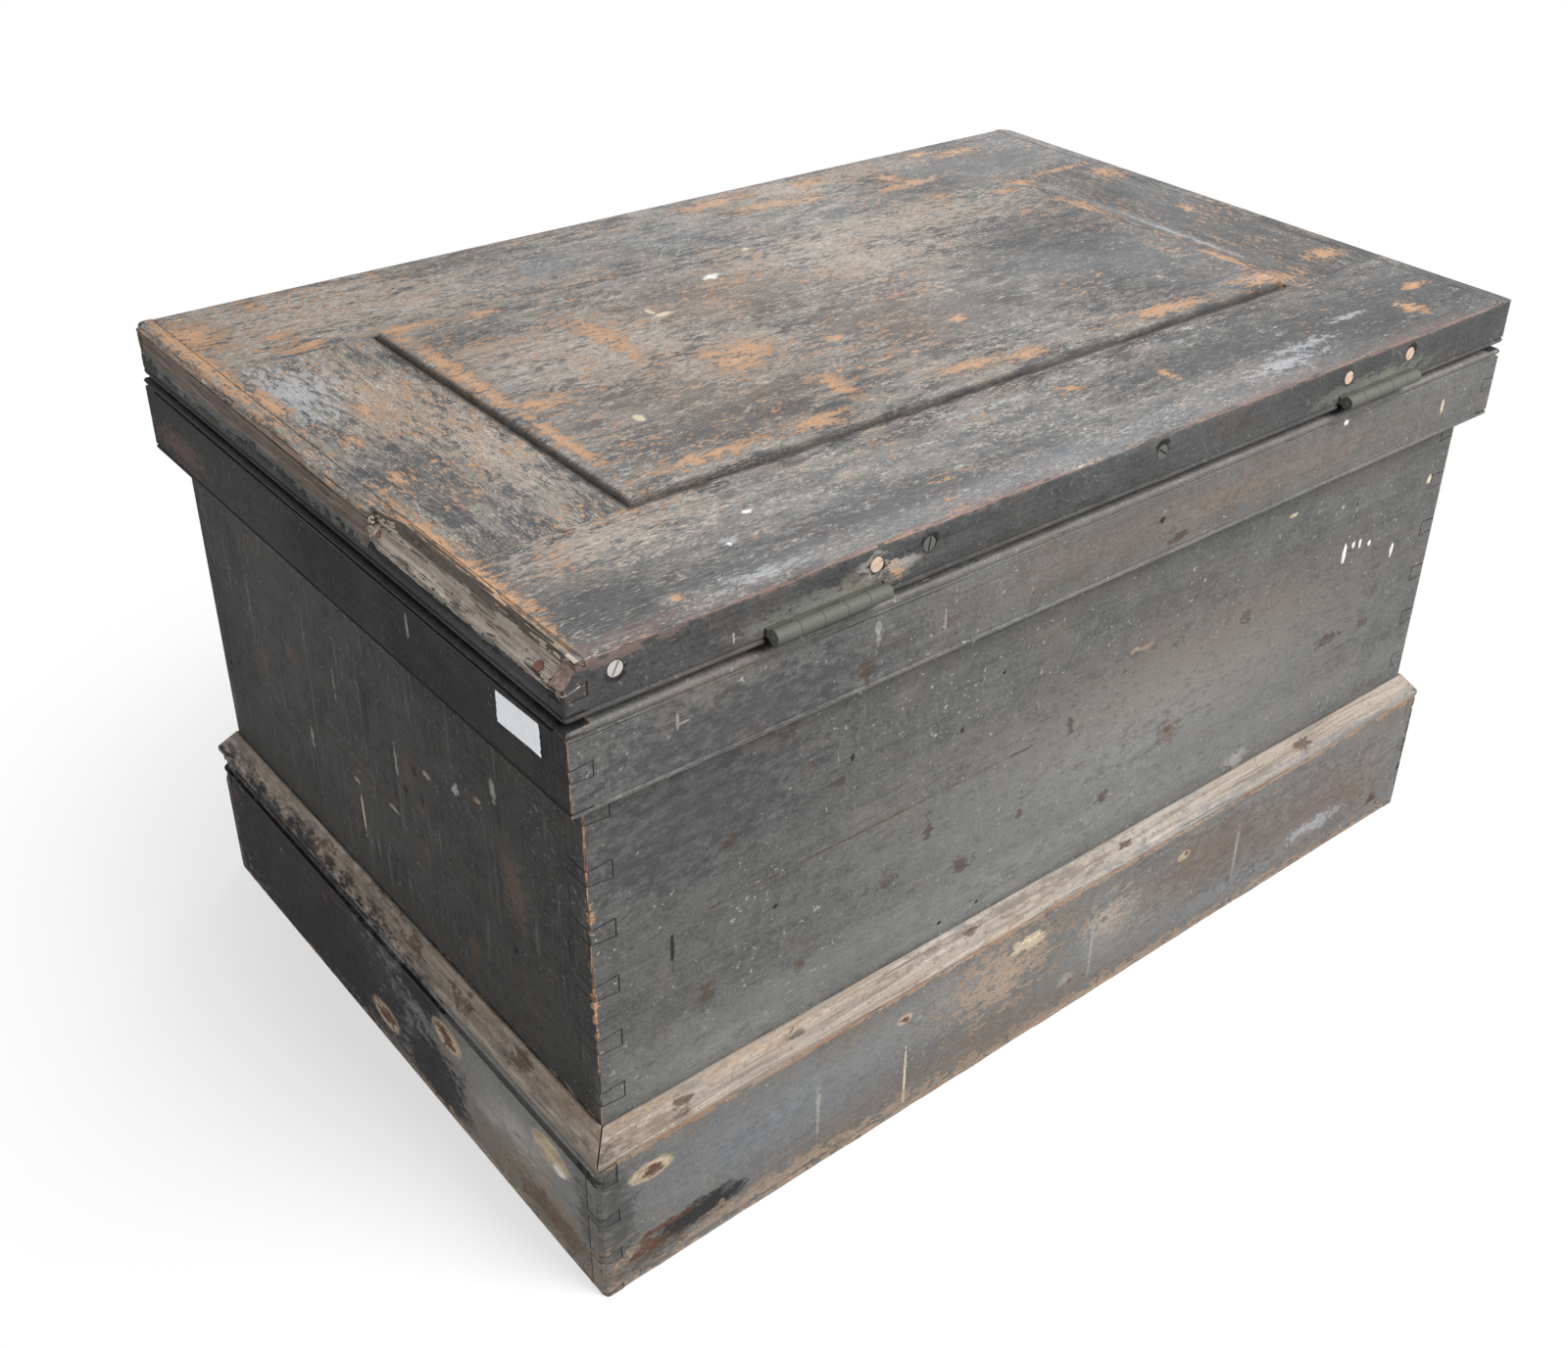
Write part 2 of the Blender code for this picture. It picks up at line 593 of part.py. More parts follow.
def build_lid_frame(lid):
    """Makes the lid's rails and stiles, grooved for the panel, with stub tenons in the grooves."""
    low = TONGUE_LIFT - FIT
    high = TONGUE_LIFT + TONGUE_THICKNESS + FIT
    section = [(0, 0), (LID_RAIL_WIDTH, 0), (LID_RAIL_WIDTH, LID_FRAME_THICKNESS),
               (0, LID_FRAME_THICKNESS), (0, high), (TONGUE_DEPTH, high), (TONGUE_DEPTH, low), (0, low)]
    frame = {}
    for name, side in (("front", -1), ("back", 1)):
        bm = prism(section, along_x, -FRAME_LENGTH / 2, FRAME_LENGTH / 2)
        place = (0, side * FIELD_WIDTH / 2, LID_UNDERSIDE)
        turn = math.pi if side < 0 else 0
        frame[name] = add_object(f"lid_rail_{name}", bm, lid, place, turn, WORN_TOP)

    body = FIELD_WIDTH / 2 - FIT
    tenon = FIELD_WIDTH / 2 + TONGUE_DEPTH - FIT
    tenon_low, tenon_high = TONGUE_LIFT, TONGUE_LIFT + TONGUE_THICKNESS
    side = [(body, 0), (body, tenon_low), (tenon, tenon_low), (tenon, tenon_high),
            (body, tenon_high), (body, LID_FRAME_THICKNESS)]
    outline = side + [(-y, z) for y, z in reversed(side)]
    for name, side in (("left", -1), ("right", 1)):
        bm = prism(outline, along_x, 0, LID_STILE_WIDTH)
        place = (side * FIELD_LENGTH / 2, 0, LID_UNDERSIDE)
        turn = math.pi if side < 0 else 0
        frame[name] = add_object(f"lid_stile_{name}", bm, lid, place, turn, WORN_TOP)
    reach = FIELD_LENGTH / 2 + TONGUE_DEPTH
    groove = blocks(((-reach, -tenon - OVERRUN, LID_UNDERSIDE + low),
                     (reach, tenon + OVERRUN, LID_UNDERSIDE + high)))
    cutter = add_cutter("stile_grooves", groove, lid)
    combine(frame["left"], cutter)
    combine(frame["right"], cutter)
    return frame


def rounded_rectangle(half_x, half_y, radius, height, steps=3):
    """Lists the points of a rectangle with round corners at one height."""
    points = []
    for quarter, (sx, sy) in enumerate(((1, 1), (-1, 1), (-1, -1), (1, -1))):
        for i in range(steps + 1):
            angle = math.pi / 2 * (quarter + i / steps)
            points.append((sx * (half_x - radius) + radius * math.cos(angle),
                           sy * (half_y - radius) + radius * math.sin(angle), height))
    return points


def build_lid_panel(lid):
    """Makes the raised panel, whose round-edged field stands proud of the lid's frame."""
    foot = LID_UNDERSIDE + TONGUE_LIFT
    shoulder = foot + TONGUE_THICKNESS
    top = LID_TOP + PANEL_RISE
    tongue_x = FIELD_LENGTH / 2 + TONGUE_DEPTH - PANEL_PLAY
    tongue_y = FIELD_WIDTH / 2 + TONGUE_DEPTH - PANEL_PLAY
    field_x, field_y = FIELD_LENGTH / 2 - PANEL_PLAY, FIELD_WIDTH / 2 - PANEL_PLAY
    sizes = [(tongue_x, tongue_y, foot), (tongue_x, tongue_y, shoulder), (field_x, field_y, shoulder)]
    steps = 4
    for i in range(steps + 1):
        angle = math.pi / 2 * i / steps
        inset = PANEL_EDGE_RADIUS * (1 - math.cos(angle))
        drop = PANEL_EDGE_RADIUS * (1 - math.sin(angle))
        sizes.append((field_x - inset, field_y - inset, top - drop))
    bm = bmesh.new()
    loft(bm, [rounded_rectangle(x, y, PANEL_CORNER_RADIUS, z) for x, y, z in sizes])
    panel = add_object("lid_panel", bm, lid, finish=WORN_TOP)
    smooth(panel)


def build_skirt(lid):
    """Makes the skirt round the lid: beaded foot, hinge notches and the split at the right end."""
    skirt = dovetailed_frame("lid_skirt", (LID_LENGTH, LID_WIDTH, SKIRT_HEIGHT), SKIRT_FOOT,
                             (SKIRT_THICKNESS, SKIRT_THICKNESS), SKIRT_JOINT, lid, PAINTED_WOOD)
    bm = bmesh.new()
    add_ring(bm, LID_LENGTH, LID_WIDTH, edge_bead(SKIRT_BEAD_RADIUS), SKIRT_FOOT, flip=True)
    beads = add_cutter("skirt_bead", bm, lid)
    for board in skirt.values():
        combine(board, beads)

    half = HINGE_LENGTH / 2 + HINGE_NOTCH_PLAY
    inner = LID_WIDTH / 2 - SKIRT_THICKNESS - OVERRUN
    outer = LID_WIDTH / 2 + OVERRUN
    notches = blocks(*(((x - half, inner, SKIRT_FOOT - OVERRUN), (x + half, outer, LID_UNDERSIDE))
                       for x in (-HINGE_X, HINGE_X)))
    combine(skirt["back"], add_cutter("hinge_notches", notches, lid))

    face = LID_LENGTH / 2
    start, end = SPLIT_START, LID_WIDTH / 2 + OVERRUN
    run_out = start + (end - start) * SPLIT_TAPER_SHARE
    outline = [(face + OVERRUN, start), (face + OVERRUN, end), (face - SPLIT_END_WIDTH, end),
               (face - SPLIT_WIDTH, run_out), (face - SPLIT_WIDTH / 2, start)]
    split = prism(outline, along_z, LID_TOP - SPLIT_DEPTH, LID_TOP + OVERRUN)
    split_cutter = add_cutter("skirt_split", split, lid)
    combine(skirt["right"], split_cutter)
    combine(skirt["back"], split_cutter)
    return skirt


def leaf_outline(own_knuckles):
    """Draws a hinge leaf seen from above, cut back where the other leaf's knuckles turn."""
    half = HINGE_LENGTH / 2
    clear = -HINGE_BARREL_RADIUS - HINGE_KNUCKLE_PLAY
    points = [(-half, -HINGE_LEAF_REACH), (half, -HINGE_LEAF_REACH)]
    for i in reversed(range(HINGE_KNUCKLES)):
        low, high = knuckle_ends(i, own_knuckles)
        points.append((high, clear))
        if i in own_knuckles:
            points += [(high - FIT / 2, clear), (high - FIT / 2, 0), (low + FIT / 2, 0),
                       (low + FIT / 2, clear)]
        points.append((low, clear))
    return [here for i, here in enumerate(points) if here != points[i - 1]]


def knuckle_ends(index, own_knuckles):
    """Gives where a knuckle's stretch of the barrel starts and ends, with the gap beside it."""
    pitch = HINGE_LENGTH / HINGE_KNUCKLES
    low = -HINGE_LENGTH / 2 + index * pitch
    high = low + pitch
    gap = FIT / 2 if index in own_knuckles else -FIT / 2
    low += gap if index else 0
    high -= gap if index < HINGE_KNUCKLES - 1 else 0
    return low, high


def build_hinge(side, centre_x, case_parent, lid_parent):
    """Makes one butt hinge: the leaf on the case, the leaf on the lid and the pin."""
    case_knuckles = range(0, HINGE_KNUCKLES, 2)
    lid_knuckles = range(1, HINGE_KNUCKLES, 2)
    half = HINGE_LENGTH / 2
    place = (centre_x, HINGE_AXIS_Y, HINGE_AXIS_Z)
    bore = bmesh.new()
    add_rod(bore, HINGE_PIN_RADIUS + FIT, (-half - OVERRUN, 0, 0), (half + OVERRUN, 0, 0), 10)
    bore_cutter = add_cutter(f"hinge_{side}_bore", bore, case_parent, place)
    leaves = []
    for name, knuckles, parent, start, end in (
            ("case_leaf", case_knuckles, case_parent, -FIT / 2 - HINGE_LEAF_THICKNESS, -FIT / 2),
            ("lid_leaf", lid_knuckles, lid_parent, FIT / 2, FIT / 2 + HINGE_LEAF_THICKNESS)):
        bm = prism(leaf_outline(knuckles), along_z, start, end)
        leaf = add_object(f"hinge_{side}_{name}", bm, parent, place, finish=DARK_IRON)
        rods = bmesh.new()
        for i in knuckles:
            low, high = knuckle_ends(i, knuckles)
            add_rod(rods, HINGE_BARREL_RADIUS, (low, 0, 0), (high, 0, 0), 16)
        barrel = add_cutter(f"hinge_{side}_{name}_knuckles", rods, parent, place)
        combine(leaf, barrel, 'UNION')
        combine(leaf, bore_cutter)
        smooth(leaf)
        leaves.append(leaf)
    pin = bmesh.new()
    add_rod(pin, HINGE_PIN_RADIUS, (-half, 0, 0), (half, 0, 0), 10)
    smooth(add_object(f"hinge_{side}_pin", pin, case_parent, place, finish=DARK_IRON))
    return leaves


def build_hinges(chest, lid, case_back):
    """Makes both hinges and the gains in the back wall's top that their leaves lie in."""
    half = HINGE_LENGTH / 2 + FIT
    inner = HINGE_AXIS_Y - HINGE_LEAF_REACH - FIT
    foot = HINGE_AXIS_Z - FIT / 2 - HINGE_LEAF_THICKNESS - FIT
    gains = blocks(*(((x - half, inner, foot), (x + half, CASE_WIDTH / 2 + OVERRUN, WALL_TOP + OVERRUN))
                     for x in (-HINGE_X, HINGE_X)))
    combine(case_back, add_cutter("hinge_gains", gains, chest))
    case_leaves, lid_leaves = [], []
    for side, x in (("left", -HINGE_X), ("right", HINGE_X)):
        case_leaf, lid_leaf = build_hinge(side, x, chest, lid)
        case_leaves.append(case_leaf)
        lid_leaves.append(lid_leaf)
    return case_leaves, lid_leaves


def keyhole_outline(steps=8):
    """Draws a keyhole in X and Z about the middle of its round part."""
    half = KEYHOLE_SLOT / 2
    start = math.asin(half / KEYHOLE_RADIUS)
    sweep = 2 * math.pi - 2 * start
    arc = [(KEYHOLE_RADIUS * math.sin(start + sweep * i / steps),
            -KEYHOLE_RADIUS * math.cos(start + sweep * i / steps)) for i in range(steps + 1)]
    return arc + [(-half, -KEYHOLE_DROP), (half, -KEYHOLE_DROP)]


def build_lock_case(chest):
    """Makes the lock's case: a selvedge slotted for the staples over a box with two shelves."""
    half = SELVEDGE_LENGTH / 2
    selvedge = blocks(((-half, LOCK_FACE_Y - SELVEDGE_WIDTH, LOCK_TOP), (half, LOCK_FACE_Y, WALL_TOP)))
    case = add_object("lock_case", selvedge, chest, finish=DARK_IRON)
    half = LOCK_LENGTH / 2
    box = blocks(((-half, LOCK_FACE_Y - LOCK_THICKNESS, LOCK_FOOT),
                  (half, LOCK_FACE_Y, LOCK_TOP + SELVEDGE_THICKNESS / 2)))
    combine(case, add_cutter("lock_box", box, chest), 'UNION')

    a = LOCK_HALF_ROOM
    b = LOCK_HALF_ROOM - BOLT_SHELF_LENGTH
    shelf_top = BOLT_FOOT - FIT
    shelf_foot = shelf_top - BOLT_SHELF_THICKNESS
    side = [(a, LOCK_TOP), (a, shelf_top), (b, shelf_top), (b, shelf_foot), (a, shelf_foot),
            (a, LOCK_FOOT + LOCK_PLATE)]
    room = prism(side + [(-x, z) for x, z in reversed(side)], along_y,
                 LOCK_FACE_Y - LOCK_THICKNESS + LOCK_PLATE, LOCK_FACE_Y - LOCK_PLATE)
    combine(case, add_cutter("lock_room", room, chest))

    half_x = STAPLE_THICKNESS / 2 + STAPLE_PLAY
    half_y = STAPLE_WIDTH / 2 + STAPLE_PLAY
    slots = blocks(*(((x - half_x, LOCK_Y - half_y, LOCK_TOP - OVERRUN),
                      (x + half_x, LOCK_Y + half_y, WALL_TOP + OVERRUN))
                     for x in (-STAPLE_OFFSET, STAPLE_OFFSET)))
    combine(case, add_cutter("staple_slots", slots, chest))
    return case


def build_lock_bolt(bolt_body):
    """Makes the bolt: a bar that slides on the shelves, a tail for the key and two hooks."""
    left = -LOCK_HALF_ROOM + BOLT_LEAD
    right = LOCK_HALF_ROOM - BOLT_TRAVEL - BOLT_LEAD
    tail = BOLT_TAIL_WIDTH / 2
    prong_low = STAPLE_EYE_Z - BOLT_PRONG_HEIGHT / 2
    prong_high = STAPLE_EYE_Z + BOLT_PRONG_HEIGHT / 2
    outline = [(left, BOLT_FOOT), (-tail, BOLT_FOOT), (-tail, BOLT_FOOT - BOLT_TAIL_DROP),
               (tail, BOLT_FOOT - BOLT_TAIL_DROP), (tail, BOLT_FOOT), (right, BOLT_FOOT), (right, BOLT_TOP)]
    for staple in (STAPLE_OFFSET, -STAPLE_OFFSET):
        tip = staple - STAPLE_THICKNESS / 2 - BOLT_LEAD
        root = tip - BOLT_PRONG_LENGTH
        back = root - BOLT_POST_WIDTH
        outline += [(root, BOLT_TOP), (root, prong_low), (tip, prong_low), (tip, prong_high),
                    (back, prong_high), (back, BOLT_TOP)]
    outline.append((left, BOLT_TOP))
    half = BOLT_HOOK_THICKNESS / 2
    hooks = prism(outline, along_y, LOCK_Y - half, LOCK_Y + half)
    bolt = add_object("lock_bolt", hooks, bolt_body, finish=BRASS)
    half = LOCK_THICKNESS / 2 - LOCK_PLATE - FIT
    bar = blocks(((left, LOCK_Y - half, BOLT_FOOT), (right, LOCK_Y + half, BOLT_TOP)))
    combine(bolt, add_cutter("bolt_bar", bar, bolt_body), 'UNION')


def build_link_plate(lid, rail_front):
    """Makes the link plate let into the lid, with the two staples that the bolt hooks."""
    half_x, half_y = LINK_LENGTH / 2, LINK_WIDTH / 2
    top = LID_UNDERSIDE + LINK_THICKNESS
    plate = add_object("link_plate", blocks(((-half_x, LOCK_Y - half_y, LID_UNDERSIDE),
                                             (half_x, LOCK_Y + half_y, top))), lid, finish=DARK_IRON)
    half_x, half_y = STAPLE_THICKNESS / 2, STAPLE_WIDTH / 2
    staples = blocks(*(((x - half_x, LOCK_Y - half_y, STAPLE_FOOT),
                        (x + half_x, LOCK_Y + half_y, LID_UNDERSIDE + LINK_THICKNESS / 2))
                       for x in (-STAPLE_OFFSET, STAPLE_OFFSET)))
    combine(plate, add_cutter("staples", staples, lid), 'UNION')
    reach = STAPLE_OFFSET + STAPLE_THICKNESS
    half_y, half_z = STAPLE_EYE_WIDTH / 2, STAPLE_EYE_HEIGHT / 2
    eyes = blocks(((-reach, LOCK_Y - half_y, STAPLE_EYE_Z - half_z),
                   (reach, LOCK_Y + half_y, STAPLE_EYE_Z + half_z)))
    combine(plate, add_cutter("staple_eyes", eyes, lid))
    half_x, half_y = LINK_LENGTH / 2 + FIT, LINK_WIDTH / 2 + FIT
    bed = blocks(((-half_x, LOCK_Y - half_y, LID_UNDERSIDE - OVERRUN), (half_x, LOCK_Y + half_y, top + FIT)))
    combine(rail_front, add_cutter("link_bed", bed, lid))
    return plate


def ellipse(width, height, sides=20):
    """Draws an upright ellipse in X and Z."""
    steps = [2 * math.pi * (i + 0.5) / sides for i in range(sides)]
    return [(width / 2 * math.cos(a), height / 2 * math.sin(a)) for a in steps]


def build_escutcheon(chest, band_front):
    """Makes the oval plate round the keyhole, let into the band."""
    plate = add_object("escutcheon",
                       prism(ellipse(ESCUTCHEON_WIDTH, ESCUTCHEON_HEIGHT), along_y, -ESCUTCHEON_THICKNESS, 0),
                       chest, (0, ESCUTCHEON_BACK_Y, ESCUTCHEON_Z), finish=BRASS)
    bed = prism(ellipse(ESCUTCHEON_WIDTH + 2 * FIT, ESCUTCHEON_HEIGHT + 2 * FIT), along_y,
                -ESCUTCHEON_THICKNESS - OVERRUN, FIT)
    combine(band_front, add_cutter("escutcheon_bed", bed, chest, (0, ESCUTCHEON_BACK_Y, ESCUTCHEON_Z)))
    return plate


def build_lock(chest, bolt_body, lid, case_front, band_front, rail_front):
    """Makes the whole lock, with its mortise in the front wall and one keyhole through them all."""
    case = build_lock_case(chest)
    build_lock_bolt(bolt_body)
    link = build_link_plate(lid, rail_front)
    escutcheon = build_escutcheon(chest, band_front)
    half = SELVEDGE_LENGTH / 2 + FIT
    bed = blocks(((-half, LOCK_FACE_Y - SELVEDGE_WIDTH - FIT, LOCK_TOP - FIT),
                  (half, LOCK_FACE_Y + OVERRUN, WALL_TOP + OVERRUN)))
    combine(case_front, add_cutter("selvedge_bed", bed, chest))
    half = LOCK_LENGTH / 2 + FIT
    mortise = blocks(((-half, LOCK_FACE_Y - LOCK_THICKNESS - FIT, LOCK_FOOT - FIT),
                      (half, LOCK_FACE_Y + OVERRUN, LOCK_TOP + OVERRUN)))
    combine(case_front, add_cutter("lock_mortise", mortise, chest))
    keyhole = prism(keyhole_outline(), along_y, BAND_FACE_Y - OVERRUN, LOCK_Y)
    cutter = add_cutter("keyhole", keyhole, chest, (0, 0, KEYHOLE_Z))
    for target in (escutcheon, band_front, case_front, case):
        combine(target, cutter)
    return case, link


def build_till(name, body, size, centre_y, foot, joint):
    """Makes one sliding till: a dovetailed box with its bottom nailed on from below."""
    length, depth, height = size
    half_x, half_y = length / 2, depth / 2
    bottom = blocks(((-half_x, centre_y - half_y, foot),
                     (half_x, centre_y + half_y, foot + TILL_BOTTOM_THICKNESS)))
    add_object(f"{name}_bottom", bottom, body, finish=PINE)
    side_foot = foot + TILL_BOTTOM_THICKNESS + FIT
    dovetailed_frame(name, (length, depth, foot + height - side_foot), side_foot,
                     (TILL_BOARD_THICKNESS, TILL_BOARD_THICKNESS), joint, body, PINE, centre_y)


def build_tills(chest):
    """Makes both tills and the runners on the end walls that carry and guide them."""
    upper = add_empty("till_upper", (0, UPPER_TILL_Y, UPPER_TILL_FOOT), chest)
    lower = add_empty("till_lower", (0, LOWER_TILL_Y, LOWER_TILL_FOOT), chest)
    build_till("till_upper", upper, (UPPER_TILL_LENGTH, UPPER_TILL_DEPTH, UPPER_TILL_HEIGHT),
               UPPER_TILL_Y, UPPER_TILL_FOOT, UPPER_TILL_JOINT)
    build_till("till_lower", lower, (LOWER_TILL_LENGTH, LOWER_TILL_DEPTH, LOWER_TILL_HEIGHT),
               LOWER_TILL_Y, LOWER_TILL_FOOT, LOWER_TILL_JOINT)
    half_y = INNER_WIDTH / 2 - FIT
    lower_top = LOWER_TILL_FOOT - FIT
    for side, sign in (("left", -1), ("right", 1)):
        for name, thickness, foot, top in (
                ("upper", UPPER_RUNNER_THICKNESS, LOWER_TILL_FOOT, UPPER_TILL_FOOT - FIT),
                ("lower", LOWER_RUNNER_THICKNESS, lower_top - LOWER_RUNNER_HEIGHT, lower_top)):
            outer = INNER_LENGTH / 2 - FIT
            inner = INNER_LENGTH / 2 - thickness
            low, high = sorted((sign * inner, sign * outer))
            runner = blocks(((low, -half_y, foot), (high, half_y, top)))
            add_object(f"till_runner_{name}_{side}", runner, chest, finish=PINE)


def build_skirt_screws(lid, skirt_back, rail_back):
    """Makes the screws that hold the lid's back skirt to its rail."""
    z = LID_UNDERSIDE + LID_FRAME_THICKNESS / 2
    places = [((share * LID_LENGTH / 2, LID_WIDTH / 2, z), (0, 1, 0)) for share in SKIRT_SCREW_SHARES]
    add_screws("lid_skirt_screw", SKIRT_SCREW, places, lid, BRIGHT_STEEL, (skirt_back, rail_back))


def drill_fittings(chest, lid, case_pieces, lid_pieces):
    """Bores the screw holes of the hinges, the lock's selvedge and the link plate."""
    y = HINGE_AXIS_Y - HINGE_LEAF_REACH + HINGE_SCREW_SETBACK
    xs = [side * HINGE_X + share * HINGE_LENGTH / 2 for side in (-1, 1) for share in HINGE_SCREW_SHARES]
    x = SELVEDGE_LENGTH / 2 * SELVEDGE_SCREW_SHARE
    case_places = [(x, y, HINGE_AXIS_Z - FIT / 2) for x in xs]
    case_places += [(side * x, LOCK_FACE_Y - SELVEDGE_WIDTH / 2, WALL_TOP) for side in (-1, 1)]
    drill("case_fitting_holes", FITTING_SCREW, [(place, (0, 0, 1)) for place in case_places], chest,
          case_pieces)
    x = LINK_LENGTH / 2 * LINK_SCREW_SHARE
    lid_places = [(x, y, HINGE_AXIS_Z + FIT / 2) for x in xs]
    lid_places += [(side * x, LOCK_Y, LID_UNDERSIDE) for side in (-1, 1)]
    drill("lid_fitting_holes", FITTING_SCREW, [(place, (0, 0, -1)) for place in lid_places], lid,
          lid_pieces)


def main():
    """Builds the chest on an empty that centres its overall box on the origin."""
    clear_scene()
    chest = add_empty("chest", (0, CASE_SHIFT_Y, 0))
    lid = add_empty("lid", (0, HINGE_AXIS_Y, HINGE_AXIS_Z), chest)
    bolt_body = add_empty("bolt", (0, LOCK_Y, BOLT_FOOT), chest)

    walls = build_case(chest)
    band = build_band(chest)
    build_base(chest)
    frame = build_lid_frame(lid)
    build_lid_panel(lid)
    skirt = build_skirt(lid)
    case_leaves, lid_leaves = build_hinges(chest, lid, walls["back"])
    lock_case, link_plate = build_lock(chest, bolt_body, lid, walls["front"], band["front"], frame["front"])
    build_tills(chest)
    build_skirt_screws(lid, skirt["back"], frame["back"])
    drill_fittings(chest, lid, (*case_leaves, lock_case, walls["front"], walls["back"]),
                   (*lid_leaves, link_plate, frame["front"], frame["back"]))


main()
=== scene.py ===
"""Looks of an old joiner's tool chest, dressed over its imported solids.

The chest stands on the floor with its hinged back towards +Y and its front towards -Y. All lengths
are in metres, except the tables of marks, which are in millimetres as they were read off the boards.
"""
import logging
import math
from dataclasses import dataclass, field, replace
from enum import Enum
from functools import partial, reduce
from typing import Callable, Iterable

import bmesh
import bpy
from mathutils import Matrix, Vector, noise


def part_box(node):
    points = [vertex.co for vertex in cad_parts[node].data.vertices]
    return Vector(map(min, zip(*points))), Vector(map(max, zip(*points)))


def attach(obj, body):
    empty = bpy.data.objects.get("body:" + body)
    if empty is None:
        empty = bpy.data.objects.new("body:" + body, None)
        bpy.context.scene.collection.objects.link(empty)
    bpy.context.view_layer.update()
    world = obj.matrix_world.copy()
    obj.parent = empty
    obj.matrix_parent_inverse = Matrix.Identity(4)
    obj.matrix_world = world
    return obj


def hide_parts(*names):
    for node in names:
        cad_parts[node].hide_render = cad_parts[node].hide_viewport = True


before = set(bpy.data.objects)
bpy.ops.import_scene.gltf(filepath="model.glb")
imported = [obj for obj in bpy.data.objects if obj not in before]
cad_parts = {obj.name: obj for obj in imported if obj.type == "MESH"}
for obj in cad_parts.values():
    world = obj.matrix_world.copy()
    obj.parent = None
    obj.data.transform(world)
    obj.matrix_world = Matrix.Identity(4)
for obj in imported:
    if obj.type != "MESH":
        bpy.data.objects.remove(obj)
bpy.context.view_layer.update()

log = logging.getLogger("chest")

MM = 0.001
CASE_SHIFT = Vector((0.0, -0.00625, 0.0))
BOX_PLAY = 0.00005
TOUCH = 1e-6
PHOTO_WIDTH = 1600
PHOTO_HEIGHT = 1376
WALLS = (464.5, 298.0)  # half the case's length and depth, in millimetres
PLINTH = (480.5, 314.0, 132.5)  # half the plinth's length and depth, and its height, in millimetres
SILL_MIDDLE = 144.4  # the height of the middle of the sill's slope, in millimetres

Colour = tuple[float, float, float]
BMesh, BMVert = bmesh.types.BMesh, bmesh.types.BMVert
BMEdge, BMFace = bmesh.types.BMEdge, bmesh.types.BMFace
Inputs, Mesh, Node, Scene = bpy.types.NodeInputs, bpy.types.Mesh, bpy.types.Node, bpy.types.Scene
Object, Socket = bpy.types.Object, bpy.types.NodeSocket


def from_chest(x: float, y: float, z: float) -> Vector:
    """Turns a place read off the chest, in millimetres from its middle, into one in the scene."""
    return Vector((x, y, z)) * MM + CASE_SHIFT


def scaled(colour: Colour, share: float) -> Colour:
    """Makes a colour darker or paler."""
    return tuple(min(1.0, part * share) for part in colour)


def smoothstep(low: float, high: float, value: float) -> float:
    """Rises smoothly from 0 at low to 1 at high."""
    share = min(1.0, max(0.0, (value - low) / (high - low)))
    return share * share * (3 - 2 * share)


# Shader building


class Value:
    """What a node gives over the surface. Values that are numbers can be added, subtracted and multiplied."""

    def __init__(self, g: "Graph", socket: Socket) -> None:
        """Keeps the graph that the value belongs to, and the socket that gives it."""
        self.g, self.socket = g, socket

    def __add__(self, other: object) -> "Value":
        """Adds a number."""
        return self.g.math("ADD", self, other)

    def __sub__(self, other: object) -> "Value":
        """Takes a number away."""
        return self.g.math("SUBTRACT", self, other)

    def __rsub__(self, other: object) -> "Value":
        """Takes the value away from a number."""
        return self.g.math("SUBTRACT", other, self)

    def __mul__(self, other: object) -> "Value":
        """Multiplies by a number."""
        return self.g.math("MULTIPLY", self, other)

    __radd__ = __add__
    __rmul__ = __mul__


Values = dict[str, Value]


